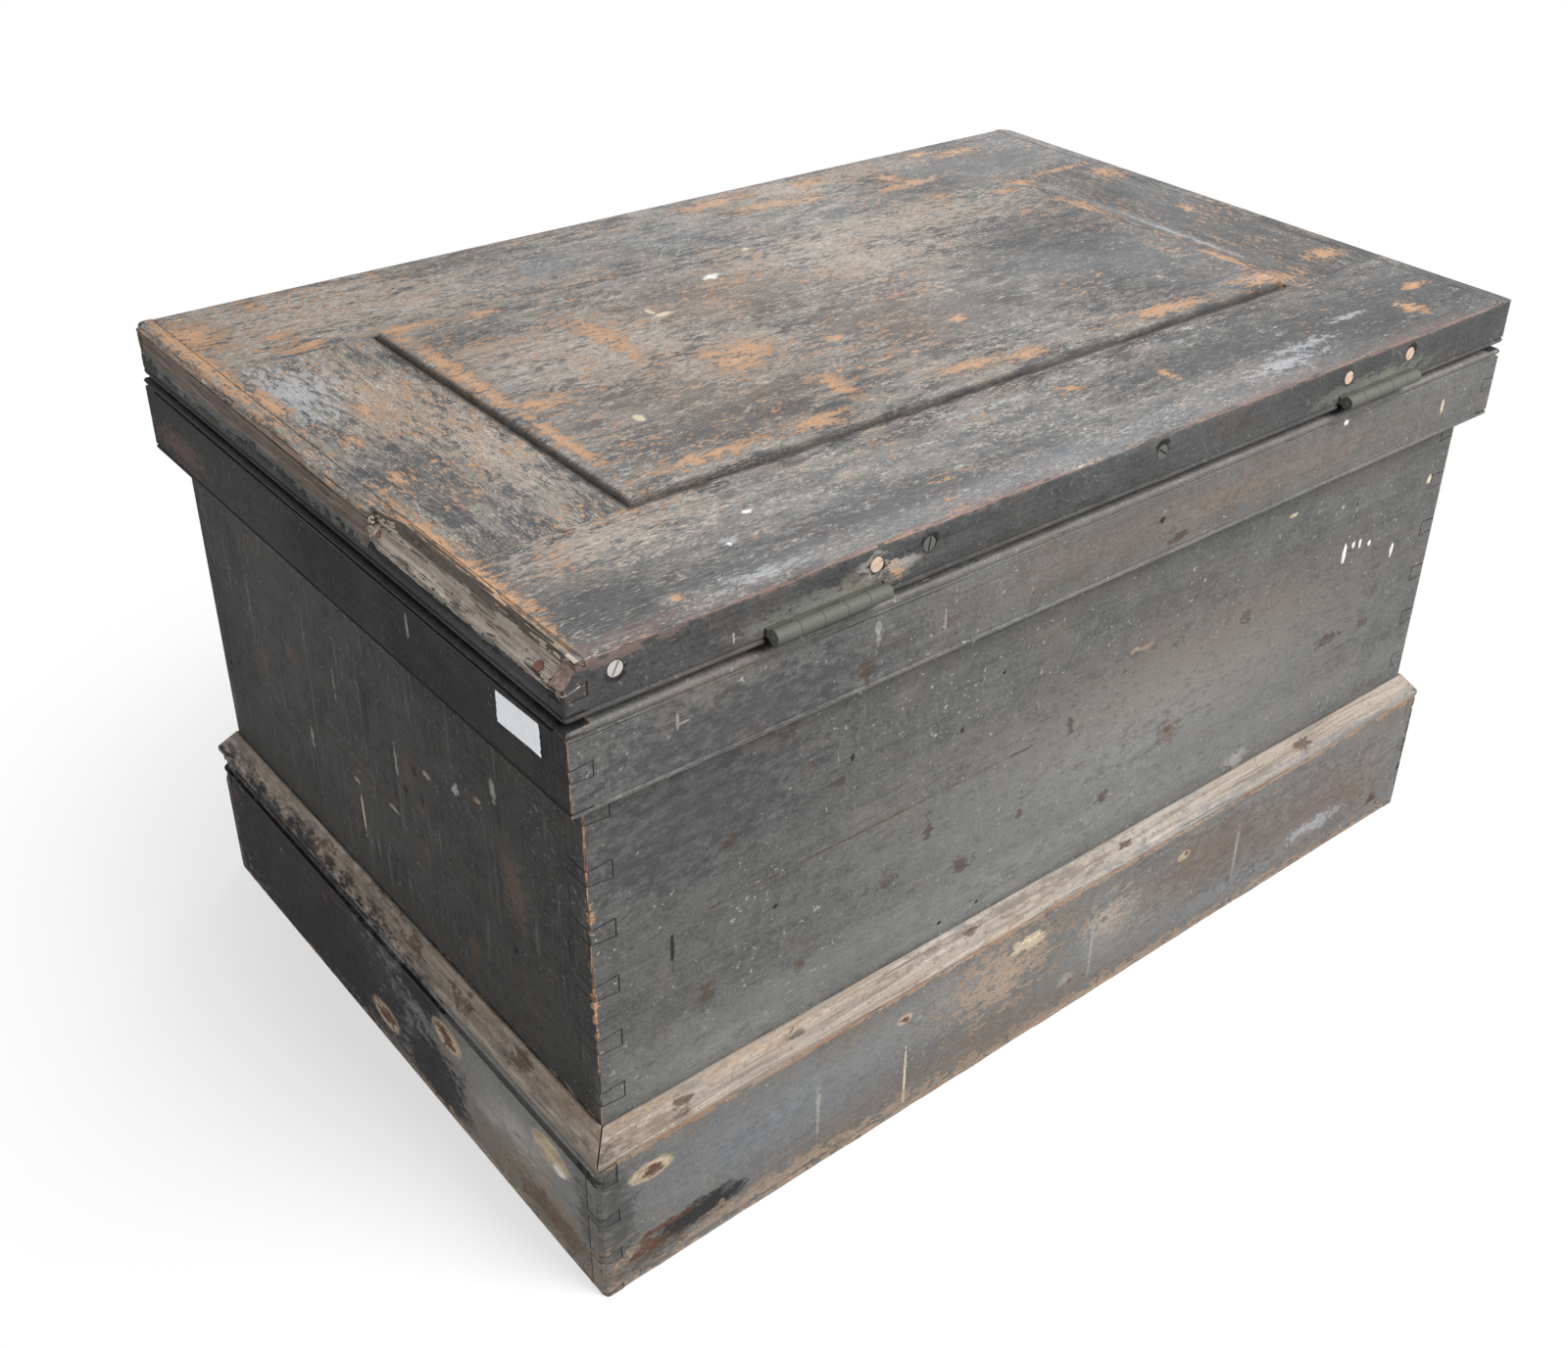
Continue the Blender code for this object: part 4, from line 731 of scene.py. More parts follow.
@dataclass(frozen=True)
class WeatheredTop(Finish):
    """The lid's top: what is left of dark paint on silvered, furrowed wood, with fresh bare patches."""

    left: float = 0.515  # how much of the paint is left, from 0 to 1
    arris: float = 0.0015  # how wide the arrises are worn
    edge: float = 0.0  # how much bare wood shows at them, from 0 to 1
    marks: tuple[Mark, ...] = ()

    def dress(self, g: Graph) -> None:
        """Fills the material's node tree.

        Args:
            g: The material's graph.
        """
        board = g.effect(BOARD_FRAME)
        place = board["Place"]
        grain = g.effect(WOOD_GRAIN, Vector=board["Grain"], Fineness=640, Run=70, Sway=0.004)
        mottle = g.effect(MOTTLE, Vector=place)
        worn = g.effect(WORN_ARRIS, Vector=place, Distance=board["Outer"], Width=self.arris)
        ragged = g.span(g.noise(g.stretch(board["Grain"], (85, 210, 210)), 1, 7, 0.8), 0.3, 0.7)
        ground = g.noise(g.stretch(board["Grain"], (24, 70, 70)), 1, 8, 0.78)
        paint = g.mix(g.span(ground, 0.42, 0.57), (0.06, 0.063, 0.068), (0.222, 0.204, 0.183))
        calm = g.span(g.parts(place)[1], 0.175, 0.215)
        paint = g.mix(calm * 0.5, paint, (0.165, 0.164, 0.163))
        far = g.span(g.parts(place)[0], -0.08, -0.3)
        paint = g.mix(far * 0.45, paint, (0.052, 0.054, 0.058))
        paint, _ = add_marks(g, self.marks, place, ragged, paint, 0, broad=True)
        flecks = g.noise(g.stretch(board["Grain"], (230, 900, 900)), 1, 3, 0.8)
        paint = g.mix(g.span(flecks, 0.32, 0.47, 0.75, 0), paint, (0.036, 0.036, 0.038))
        wood = g.mix(g.span(g.noise(place, 17, 5, 0.7), 0.42, 0.62), (0.56, 0.53, 0.485), (0.54, 0.42, 0.31))
        wood = g.mix(g.span(grain["Fibre"], 1, 0) * 0.5, wood, (0.16, 0.14, 0.12))
        drift = g.noise(g.stretch(board["Grain"], (40, 130, 130)), 1, 7, 0.8)
        level = g.span(drift, 0.36, 0.66, self.left + 0.15, self.left - 0.07)
        level = level + mark_mask(g, self.marks, Stain.SMOKE, place, ragged) * 0.05
        level = level - mark_mask(g, self.marks, Stain.ROSY, place, ragged) * 0.02
        level = level + (calm * 0.022 + far * 0.03)
        shown = g.span(flecks - level, 0, 0.07)
        colour = g.mix(shown * 0.74, paint, wood)
        colour = g.mix(grain["Check"] * 0.8, colour, (0.022, 0.02, 0.019))
        cracks = g.math("ABSOLUTE", g.noise(g.stretch(board["Grain"], (7, 95, 95)), 1, 4) - 0.5)
        cracks = g.span(cracks, 0.01, 0.002) * g.span(g.noise(place, 21, 3), 0.5, 0.62)
        colour = g.mix(cracks * 0.8, colour, (0.03, 0.027, 0.025))
        fresh = g.noise(g.stretch(board["Grain"], (120, 260, 260)), 1, 5, 0.66, 0.4)
        where = g.noise(place, 14, 3) + g.span(g.parts(place)[0], -0.2, 0.34, -0.03, 0.05)
        where = where + g.span(g.parts(place)[1], 0.06, 0.2, 0.01, -0.09)
        spots = g.span(fresh, 0.575, 0.59) * g.span(where, 0.49, 0.56)
        tan = g.mix(grain["Fibre"], (0.27, 0.14, 0.07), (0.52, 0.29, 0.14))
        colour = g.mix(spots * 0.9, colour, tan)
        height = grain["Fibre"] - grain["Check"] + flecks
        colour, height = add_marks(g, self.marks, place, ragged, colour, height, 0.5, broad=False)
        beyond = g.effect(FIELD_EDGE, Vector=place, Centre=tuple(from_chest(0, 0, 0)),
                          Half=(0.3442, 0.1782, 0))["Beyond"]
        # Darkens a band round the raised panel's edge: dirt in the groove, and painted shade below the
        # panel's step.
        groove_dirt_and_shade = g.math("MINIMUM", g.span(beyond, -0.0045, -0.001), g.span(beyond, 0.0048, 0.0012))
        colour = g.mix(groove_dirt_and_shade * 0.72, colour, (0.035, 0.033, 0.031))
        edge = wood_colour(g, grain, (0.27, 0.18, 0.155), (0.15, 0.095, 0.08), (0.05, 0.03, 0.02))
        colour = g.mix(worn["Bare"] * self.edge, colour, edge)
        pine = wood_colour(g, grain, (0.4, 0.26, 0.145), (0.26, 0.15, 0.07), (0.1, 0.05, 0.03))
        colour = g.mix(board["Inside"], colour, pine)
        rough = g.span(mottle["Cloud"], 0, 1, 0.52, 0.68)
        self.finish_shader(g, colour, rough, height, 0.0005)


@dataclass(frozen=True)
class BareWood(Finish):
    """Old wood that has lost its paint: grey-brown, furrowed, with darker streaks."""

    early: Colour = (0.36, 0.3, 0.235)
    late: Colour = (0.17, 0.125, 0.09)
    grime: float = 0.5  # how much dark grime lies on it, from 0 to 1
    arris: float = 0.001  # how wide the arrises are worn
    marks: tuple[Mark, ...] = ()

    def dress(self, g: Graph) -> None:
        """Fills the material's node tree.

        Args:
            g: The material's graph.
        """
        board = g.effect(BOARD_FRAME)
        place = board["Place"]
        grain = g.effect(WOOD_GRAIN, Vector=board["Grain"], Fineness=430, Run=10, Rings=230)
        mottle = g.effect(MOTTLE, Vector=place)
        colour = wood_colour(g, grain, self.early, self.late, (0.03, 0.022, 0.016))
        streak = g.noise(g.stretch(board["Grain"], (9, 120, 120)), 1, 4, 0.6)
        dirt = g.span(streak, 0.46, 0.66) * self.grime
        colour = g.mix(dirt, colour, (0.065, 0.052, 0.042))
        colour = g.mix(mottle["Cloud"] * 0.25, colour, (0.42, 0.4, 0.36))
        colour = g.mix(g.span(mottle["Grit"], 0.35, 0, 0, 0.7), colour, scaled(self.late, 0.5))
        worn = g.effect(WORN_ARRIS, Vector=place, Distance=board["Arris"], Width=self.arris)
        colour = g.mix(worn["Bare"] * 0.6, colour, (0.4, 0.285, 0.19))
        height = grain["Fibre"] - grain["Check"]
        ragged = g.span(g.noise(g.stretch(board["Grain"], (60, 150, 150)), 1, 6, 0.7), 0.32, 0.68)
        colour, height = add_marks(g, self.marks, place, ragged, colour, height)
        self.finish_shader(g, colour, g.span(grain["Fibre"], 0, 1, 0.62, 0.8), height, 0.0006)


@dataclass(frozen=True)
class OldMetal(Finish):
    """Iron, steel or brass with tarnish, rust in its hollows and traces of paint."""

    clean: Colour = (0.5, 0.48, 0.45)
    stained: Colour = (0.1, 0.06, 0.04)
    cover: float = 0.5  # how much of it is stained, from 0 to 1
    shine: float = 0.35  # the roughness of the clean metal

    def dress(self, g: Graph) -> None:
        """Fills the material's node tree.

        Args:
            g: The material's graph.
        """
        place = g.node("TexCoord").outputs["Object"]
        broad = g.noise(place, 260, 4, 0.65)
        fine = g.noise(place, 1500, 3, 0.6)
        field = broad * 0.7 + fine * 0.3
        stain = 1 - g.span(field, 0.62 - self.cover * 0.3, 0.54 - self.cover * 0.3)
        tone = g.mix(fine, scaled(self.stained, 0.6), scaled(self.stained, 1.5))
        colour = g.mix(stain, self.clean, tone)
        g.feed(g.shader().inputs["Metallic"], g.span(stain, 0, 1, 1, 0.15))
        rough = g.span(stain, 0, 1, self.shine, 0.72)
        self.finish_shader(g, colour, rough, field + stain * 0.3, 0.0003, 0.4)


@dataclass(frozen=True)
class Paper(Finish):
    """Plain pale paper tape with faint fibres, creases and a little dirt."""

    colour: Colour = (0.84, 0.86, 0.875)
    dirt: Colour = (0.62, 0.63, 0.63)  # the dirt on it

    def dress(self, g: Graph) -> None:
        """Fills the material's node tree.

        Args:
            g: The material's graph.
        """
        place = g.node("TexCoord").outputs["Object"]
        fibres = g.noise(g.stretch(place, (300, 300, 1400)), 1, 4, 0.7)
        dirt = g.span(g.noise(place, 90, 5, 0.7), 0.52, 0.75, 0, 0.6)
        colour = g.mix(dirt, g.mix(fibres, scaled(self.colour, 0.94), self.colour), self.dirt)
        creases = g.math("ABSOLUTE", g.noise(place, 60, 2) - 0.5)
        height = fibres * 0.4 - g.span(creases, 0.02, 0)
        self.finish_shader(g, colour, 0.8, height, 0.0002)


# Boards


class Lie(Enum):
    """How a board lies: the axes of its grain, its width and its outer face, and that face's sign."""

    FRONT = (0, 2, 1, -1)
    BACK = (0, 2, 1, 1)
    LEFT = (1, 2, 0, -1)
    RIGHT = (1, 2, 0, 1)
    RAIL = (0, 1, 2, 1)
    STILE = (1, 0, 2, 1)
    FLOOR = (1, 0, 2, -1)
    TRAY = (0, 1, 2, -1)

    def __init__(self, along: int, across: int, through: int, sign: int) -> None:
        """Names the parts of the value."""
        self.along, self.across, self.through, self.sign = along, across, through, sign


@dataclass(frozen=True)
class Break:
    """A part of a board whose surface is broken or weathered into fibres."""

    low: tuple[float, float, float]  # the lowest corner of the part, in millimetres from the chest's middle
    high: tuple[float, float, float]  # its highest corner
    depth: float  # how deep it goes, in metres
    # how far apart the cuts along, across and through the board are, in metres
    cells: tuple[float, float, float] = (0.004, 0.003, 0.003)
    fibres: float = 260.0  # how fine the fibres are, in waves to a metre

    def depth_at(self, place: Vector, lie: "Lie") -> float:
        """Says how deep the surface is broken at a place.

        Args:
            place: The place, in the scene.
            lie: How the board lies.

        Returns:
            The depth in metres.
        """
        along = lie.along
        spot = Vector([place[i] * (22.0 if i == along else self.fibres) for i in range(3)])
        fibre = 0.5 - 2.2 * abs(noise.noise(spot)) + noise.noise(spot * 2.3) * 0.4
        broad = noise.noise(place * 30) * 0.5 + 0.5
        near, far = from_chest(*self.low), from_chest(*self.high)
        fade = 1.0
        for i in range(3):
            soft = 0.012 if i == along else 0.003
            fade *= smoothstep(0, soft, place[i] - near[i]) * smoothstep(0, soft, far[i] - place[i])
        return self.depth * fade * max(0.0, 0.35 + 0.5 * broad + 0.75 * fibre)


def solid_of(node: str) -> BMesh:
    """Copies a CAD node's solid, each flat face of it in one piece.

    Args:
        node: The node's name.

    Returns:
        The copy.
    """
    bm = bmesh.new()
    bm.from_mesh(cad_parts[node].data)
    bmesh.ops.remove_doubles(bm, verts=bm.verts, dist=TOUCH)
    bmesh.ops.dissolve_limit(bm, angle_limit=math.radians(0.8), verts=bm.verts, edges=bm.edges)
    return bm


def whole(bm: BMesh) -> list:
    """Lists all corners, edges and faces of a mesh."""
    return bm.verts[:] + bm.edges[:] + bm.faces[:]


def geometry_of(faces: set) -> list:
    """Lists faces with their edges and corners."""
    return [*faces, *{e for f in faces for e in f.edges}, *{v for f in faces for v in f.verts}]


def normal_along(axis: int) -> Vector:
    """Gives the unit vector along an axis."""
    return Vector([float(i == axis) for i in range(3)])


def cut(bm: BMesh, geometry: list, place: Vector, axis: int) -> list:
    """Cuts a part of a mesh at the plane through a place, across an axis, and lists that part anew."""
    return bmesh.ops.bisect_plane(bm, geom=geometry, dist=TOUCH, plane_co=place,
                                  plane_no=normal_along(axis))["geom"]


def keep_inside(bm: BMesh, low: Vector, high: Vector) -> None:
    """Keeps every corner of a mesh inside a box, and takes out what has shrunk to nothing.

    Args:
        bm: The mesh.
        low: The box's lowest corner.
        high: The box's highest corner.
    """
    for vert in bm.verts:
        vert.co = Vector(min(max(value, low[i]), high[i]) for i, value in enumerate(vert.co))
    bmesh.ops.dissolve_degenerate(bm, edges=bm.edges, dist=TOUCH)


def to_mesh(bm: BMesh, name: str) -> Mesh:
    """Turns a finished shape into a mesh of that name, and frees it.

    Args:
        bm: The shape.
        name: The mesh's name.

    Returns:
        The mesh.
    """
    mesh = bpy.data.meshes.new(name)
    bm.to_mesh(mesh)
    bm.free()
    return mesh


@dataclass
class Timber:
    """One board, cut from its CAD node, with worn arrises and its own stretch of grain."""

    node: str
    lie: Lie
    body: str
    slot: str  # the record's material slot; nothing in this script reads it
    finish: Finish
    arris: float = 0.0009  # how wide its outer arrises are rounded
    joint: float = 0.0004  # how wide its other edges are eased
    top: float = 0.0  # how wide its upper outer arris is rounded, where that is more
    step: float = 0.01  # how far apart the cuts along its arrises are
    wear: float = 0.0004  # how deep the arrises are worn everywhere
    # the signs of X and Y and the radius of each upright corner that is worn round
    corners: tuple[tuple[int, int, float], ...] = ()
    breaks: tuple[Break, ...] = ()  # its broken and weathered parts
    upper: Finish | None = None  # the finish of its top face, where that differs
    flank: Finish | None = None  # the finish of its two ends, where that differs

    def __post_init__(self) -> None:
        """Reads the box of its node, and adds the marks to its finishes if it isn't bare pine."""
        self.low, self.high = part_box(self.node)
        if self.finish is not PINE:
            self.finish, self.upper, self.flank = (
                look and dressed(look, self.node) for look in (self.finish, self.upper, self.flank))

    def build(self) -> Object:
        """Makes the board's mesh, dresses it and stands it in for its node.

        Returns:
            The new board.
        """
        bm = solid_of(self.node)
        worn = self.ease_edges(bm)
        self.cut_arrises(bm, worn)
        worn = self.fill_faces(bm, worn)
        for part in self.breaks:
            self.break_surface(bm, part)
        self.wear_arrises(bm, worn)
        for side_x, side_y, radius in self.corners:
            self.round_corner(bm, side_x, side_y, radius)
        keep_inside(bm, self.low, self.high)
        return self.to_object(bm)

    def round_corner(self, bm: BMesh, side_x: int, side_y: int, radius: float) -> None:
        """Bends an upright corner of the board round.

        Args:
            bm: The board's mesh.
            side_x: The corner's side along X, -1 or 1.
            side_y: The corner's side along Y.
            radius: The corner's radius.
        """
        sides = (side_x, side_y)
        centre = [(self.low, self.high)[sides[i] > 0][i] - sides[i] * radius for i in range(2)]
        for axis in range(2):
            for i in range(5):
                place = Vector()
                place[axis] = centre[axis] + sides[axis] * radius * math.tan(math.radians(i * 9))
                cut(bm, whole(bm), place, axis)
        for vert in bm.verts:
            x, y = ((vert.co[i] - centre[i]) * sides[i] for i in range(2))
            if x > 1e-7 and y > 1e-7:
                share = max(x, y) / math.hypot(x, y)
                vert.co.x = centre[0] + side_x * x * share
                vert.co.y = centre[1] + side_y * y * share

    def break_surface(self, bm: BMesh, part: Break) -> None:
        """Cuts a part of the board finely and breaks its surface into fibres.

        Args:
            bm: The board's mesh.
            part: The broken part.
        """
        near, far = from_chest(*part.low), from_chest(*part.high)

        def inside(face: BMFace) -> bool:
            """Says whether a face reaches into the part."""
            spots = [v.co for v in face.verts]
            return all(min(s[i] for s in spots) < far[i] - 1e-6 and max(s[i] for s in spots) > near[i] + 1e-6
                       for i in range(3))

        for axis, cell in zip(self.lie.value[:3], part.cells):
            start, stop = max(near[axis], self.low[axis]), min(far[axis], self.high[axis])
            count = max(1, round((stop - start) / cell))
            faces = {f for f in bm.faces if inside(f)}
            geometry = geometry_of(faces)
            for i in range(count + 1):
                place = Vector()
                place[axis] = start + (stop - start) * i / count
                geometry = cut(bm, geometry, place, axis)
        bm.normal_update()
        spots = [v for v in bm.verts if all(near[i] <= v.co[i] <= far[i] for i in range(3))]
        self.move_corners({v: v.normal * -part.depth_at(v.co, self.lie) for v in spots})

    def move_corners(self, moves: dict[BMVert, Vector]) -> None:
        """Moves corners of the mesh, each only so far that no face beside it turns over.

        Args:
            moves: How far each corner should move.
        """
        start = {vert: vert.co.copy() for vert in moves}
        facing = {face: face.normal.copy() for vert in moves for face in vert.link_faces
                  if face.calc_area() > 1e-9}
        for _ in range(8):
            for vert, move in moves.items():
                vert.co = start[vert] + move
            turned = set()
            for face, normal in facing.items():
                face.normal_update()
                if face.normal.dot(normal) < 0.1:
                    turned.update(face.verts)
            if not turned:
                return
            for vert in turned.intersection(moves):
                moves[vert] = moves[vert] * 0.4

    def dress_faces(self, mesh: Mesh) -> None:
        """Gives the board's ends and its top face their own finishes, and the seams at its joints dirt.

        Args:
            mesh: The board's mesh.
        """
        along, through = self.lie.along, self.lie.through

        def to_end(spot: Vector) -> float:
            """Measures how far a place lies from the nearer end of the board."""
            return min(spot[along] - self.low[along], self.high[along] - spot[along])

        for finish, ends in ((self.flank, True), (self.upper, False)):
            if not finish:
                continue
            mesh.materials.append(finish.material())
            for polygon in mesh.polygons:
                spot, facing = polygon.center, polygon.normal
                if ends:
                    chosen = abs(facing[along]) > 0.7 and to_end(spot) < 0.0015
                else:
                    chosen = facing.z > 0.55 and spot.z > self.low.z + (self.high.z - self.low.z) * 0.6
                if chosen:
                    polygon.material_index = len(mesh.materials) - 1
        mesh.materials.append(SEAM_DIRT.material())
        outer = (self.high if self.lie.sign > 0 else self.low)[through]
        for polygon, seam in zip(mesh.polygons, mesh.attributes["seam"].data):
            spot = polygon.center
            if seam.value and min(to_end(spot), abs(spot[through] - outer)) < 0.0012:
                polygon.material_index = len(mesh.materials) - 1

    def sides_of(self, edge: BMEdge) -> set[tuple[int, int]]:
        """Lists the sides of the board's box that an edge lies on, as axis and sign.

        Args:
            edge: The edge.

        Returns:
            The sides.
        """
        found = set()
        for axis in range(3):
            for sign, plane in ((-1, self.low), (1, self.high)):
                if all(abs(v.co[axis] - plane[axis]) < BOX_PLAY for v in edge.verts):
                    found.add((axis, sign))
        return found

    def ease_edges(self, bm: BMesh) -> set:
        """Rounds the board's arrises and eases its other edges.

        Args:
            bm: The board's mesh.

        Returns:
            The faces that the rounding made.
        """
        out = (self.lie.through, self.lie.sign)
        seam = bm.faces.layers.int.new("seam")
        worn: set = set()

        def ease(edges: list[BMEdge], offset: float, segments: int) -> None:
            """Rounds edges off and notes the faces that this makes."""
            if edges and offset > 0:
                made = bmesh.ops.bevel(bm, geom=edges, offset=offset, offset_type="OFFSET",
                                       segments=segments, profile=0.5, affect="EDGES",
                                       clamp_overlap=False, loop_slide=True)
                worn.update(made["faces"])

        def sharp(edge: BMEdge, degrees: float = 60) -> bool:
            """Says whether an edge is a sharp one."""
            return len(edge.link_faces) == 2 and edge.calc_face_angle(0) > math.radians(degrees)

        if self.top:
            ease([e for e in bm.edges if sharp(e) and {(2, 1), out} <= self.sides_of(e)], self.top, 4)
        ease([e for e in bm.edges if sharp(e) and len(self.sides_of(e)) >= 2
              and out in self.sides_of(e) and not worn.issuperset(e.link_faces)], self.arris, 2)
        arrises = set(worn)
        ease([e for e in bm.edges if sharp(e, 50) and e.calc_length() > 0.003
              and not worn.intersection(e.link_faces)], self.joint, 1)
        for face in worn - arrises:
            if face.is_valid:
                face[seam] = 1
        return {f for f in arrises if f.is_valid}

    def cut_arrises(self, bm: BMesh, worn: set) -> None:
        """Cuts the rounded strips across, so that they can wear unevenly.

        Args:
            bm: The board's mesh.
            worn: The strips' faces, to which the new ones are added.
        """
        geometry = geometry_of(worn)
        for axis in range(3):
            span = self.high[axis] - self.low[axis]
            count = int(span / self.step)
            for i in range(1, count):
                shake = noise.noise(Vector((i * 3.7, axis * 9.1, len(self.node)))) * 0.35
                place = self.low + normal_along(axis) * ((i + shake) / count * span)
                geometry = cut(bm, geometry, place, axis)
        worn.update(item for item in geometry if isinstance(item, BMFace))

    def fill_faces(self, bm: BMesh, worn: set) -> set:
        """Splits the large faces into triangles while they are still flat, so that none folds over later.

        Args:
            bm: The board's mesh.
            worn: The rounded strips' faces.

        Returns:
            The rounded strips' faces, split.
        """
        worn = {f for f in worn if f.is_valid}
        strips = [f for f in worn if len(f.verts) > 4]
        wide = [f for f in bm.faces if len(f.verts) > 4 and f not in worn]
        made = bmesh.ops.triangulate(bm, faces=strips, ngon_method="BEAUTY")["faces"] if strips else []
        bmesh.ops.triangulate(bm, faces=wide, ngon_method="BEAUTY")
        return {f for f in worn if f.is_valid} | set(made)

    def depth_at(self, place: Vector) -> float:
        """Says how deep the arris is worn at a place.

        Args:
            place: Where the point is.

        Returns:
            The depth in metres.
        """
        soft = noise.noise(place * 38) * 0.5 + 0.5
        nick = smoothstep(0.25, 0.6, noise.noise(place * 150 + Vector((5, 2, 8))))
        return self.wear * (0.3 + 1.1 * soft + 1.2 * nick)

    def wear_arrises(self, bm: BMesh, worn: set) -> None:
        """Moves the rounded strips inward, and keeps the flat faces beside them flat.

        Args:
            bm: The board's mesh.
            worn: The faces of the rounded strips.
        """
        worn = {f for f in worn if f.is_valid}
        bm.normal_update()
        moves = {}
        for vert in {v for f in worn for v in f.verts}:
            inward = Vector()
            flats: list[Vector] = []
            for face in vert.link_faces:
                if face in worn:
                    inward -= face.normal
                elif face.calc_area() > 1e-8 and all(face.normal.dot(n) < 0.999 for n in flats):
                    flats.append(face.normal.copy())
            share = 0.6 if not flats else 1.0
            kept: list[Vector] = []
            for normal in flats:
                for done in kept:
                    normal -= done * normal.dot(done)
                if normal.length > 0.05:
                    normal.normalize()
                    kept.append(normal)
                    inward -= normal * inward.dot(normal)
            if inward.length > 0.05 and len(kept) < 3:
                moves[vert] = inward.normalized() * share * self.depth_at(vert.co)
        self.move_corners(moves)

    def to_object(self, bm: BMesh) -> Object:
        """Turns the mesh into an object that knows its grain, in place of its node.

        Args:
            bm: The board's mesh.

        Returns:
            The new board.
        """
        mesh = to_mesh(bm, self.node + "_board")
        *axes, sign = self.lie.value
        middle, half = (self.low + self.high) / 2, (self.high - self.low) / 2
        seed = sum(ord(letter) * (i + 1) for i, letter in enumerate(self.node)) % 97 / 9.7
        count = len(mesh.vertices)
        woods: list[float] = []
        for vertex in mesh.vertices:
            along, across, through = ((vertex.co - middle)[axis] for axis in axes)
            woods += (along, across, through * sign)
        for name, kind, part, values in (("wood", "FLOAT_VECTOR", "vector", woods),
                                         ("half", "FLOAT_VECTOR", "vector",
                                          [half[axis] for axis in axes] * count),
                                         ("plank", "FLOAT", "value", [seed] * count)):
            mesh.attributes.new(name, kind, "POINT").data.foreach_set(part, values)
        board = place_piece(mesh, self.body, self.finish, 24.0 if self.breaks else 42.0)
        self.dress_faces(mesh)
        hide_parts(self.node)
        return board


@dataclass
class SplitSkirt(Timber):
    """A board of the lid's skirt at the split: the right one's back half, and the back one's end."""

    split: Finish | None = None  # the finish of the split's floor
    # The wall's finish is darkened as painted shade.
    wall: Finish | None = None  # the finish of its wall
    start: float = 0.0  # where the split begins along Y
    floor: float = 0.0  # the height of its floor

    def break_surface(self, bm: BMesh, part: Break) -> None:
        """Breaks a part of the board, after the split's floor has been tilted outward.

        Args:
            bm: The board's mesh.
            part: The broken part.
        """
        if part is self.breaks[-1]:
            for vert in bm.verts:
                if vert.co.y > self.start and vert.co.z < self.high.z - 0.002:
                    self.tilt(vert)
        super().break_surface(bm, part)

    def tilt(self, vert: BMVert) -> None:
        """Lifts the floor at its wall and lowers it, ragged, at its outer edge.

        Args:
            vert: The corner of the mesh.
        """
        wall = self.high.x - 0.012
        if vert.co.x < wall - 0.001:
            return
        y = vert.co.y
        share = min(1.0, max(0.0, (vert.co.x - wall) / 0.012))
        ragged = noise.noise(Vector((y * 26, 3, 1))) + noise.noise(Vector((y * 110, 9, 4))) * 0.6
        ends = smoothstep(0.0, 0.012, y - self.start)
        below = min(1.0, max(0.0, (vert.co.z - self.floor + 0.02) / 0.02))
        above = min(1.0, max(0.0, (self.high.z - vert.co.z) / (self.high.z - self.floor)))
        end = smoothstep(0.292, 0.304, y)
        rise = (0.0034 + 0.0055 * end) * (1 - share) - share * (0.0088 - 0.003 * end + 0.0016 * ragged)
        vert.co.z += ends * below * above * rise

    def dress_faces(self, mesh: Mesh) -> None:
        """Gives the top face and the split their own finishes.

        Args:
            mesh: The board's mesh.
        """
        super().dress_faces(mesh)
        first = len(mesh.materials)
        for finish in (self.split, self.wall):
            mesh.materials.append(finish.material())
        for polygon in mesh.polygons:
            spot = polygon.center
            if spot.y < self.start or spot.z < self.floor - 0.014 or spot.x < self.high.x - 0.0145:
                continue
            if polygon.normal.y > 0.6 and spot.y > self.high.y - 0.0012:
                continue
            raised = 0.0105 if spot.y > 0.298 else 0.0062
            # The wall's faces take the dark wall finish, which is painted shade.
            if polygon.normal.x > 0.4 and spot.x < self.high.x - 0.0108 and spot.y < 0.298:
                polygon.material_index = first + 1
            elif polygon.normal.z > 0.16 and spot.z < self.floor + raised and spot.x > self.high.x - 0.0125:
                polygon.material_index = first
            elif polygon.normal.y > 0.4 and spot.y < self.start + 0.014:
                polygon.material_index = first + 1


def place_piece(mesh: Mesh, body: str, finish: Finish,
                crease: float = 35.0) -> Object:
    """Makes an object of a mesh, dresses it and lets it ride on a body.

    Args:
        mesh: The mesh, in the scene's frame, with the piece's name.
        body: The body that it rides on.
        finish: Its finish.
        crease: The angle in degrees from which its edges stay sharp.

    Returns:
        The new object.
    """
    mesh.shade_smooth()
    mesh.set_sharp_from_angle(angle=math.radians(crease))
    mesh.materials.clear()
    mesh.materials.append(finish.material())
    piece = bpy.data.objects.new(mesh.name, mesh)
    bpy.context.scene.collection.objects.link(piece)
    piece.modifiers.new("even shading", "WEIGHTED_NORMAL").keep_sharp = True
    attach(piece, body)
    return piece


# Metal fittings, fasteners and things stuck on


@dataclass
class Fitting:
    """A metal piece cut from its CAD node, with its edges worn soft."""

    node: str
    body: str
    slot: str  # the record's material slot; nothing in this script reads it
    finish: Finish
    edge: float = 0.00035  # how wide its edges are worn

    def build(self) -> Object:
        """Makes the piece and stands it in for its node.

        Returns:
            The new piece.
        """
        bm = solid_of(self.node)
        sharp = [e for e in bm.edges if len(e.link_faces) == 2 and e.calc_face_angle(0) > math.radians(50)
                 and e.calc_length() > 0.0012]
        bmesh.ops.bevel(bm, geom=sharp, offset=self.edge, offset_type="OFFSET", segments=2, profile=0.5,
                        affect="EDGES", clamp_overlap=True)
        keep_inside(bm, *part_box(self.node))
        piece = place_piece(to_mesh(bm, self.node + "_metal"), self.body, self.finish)
        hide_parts(self.node)
        return piece


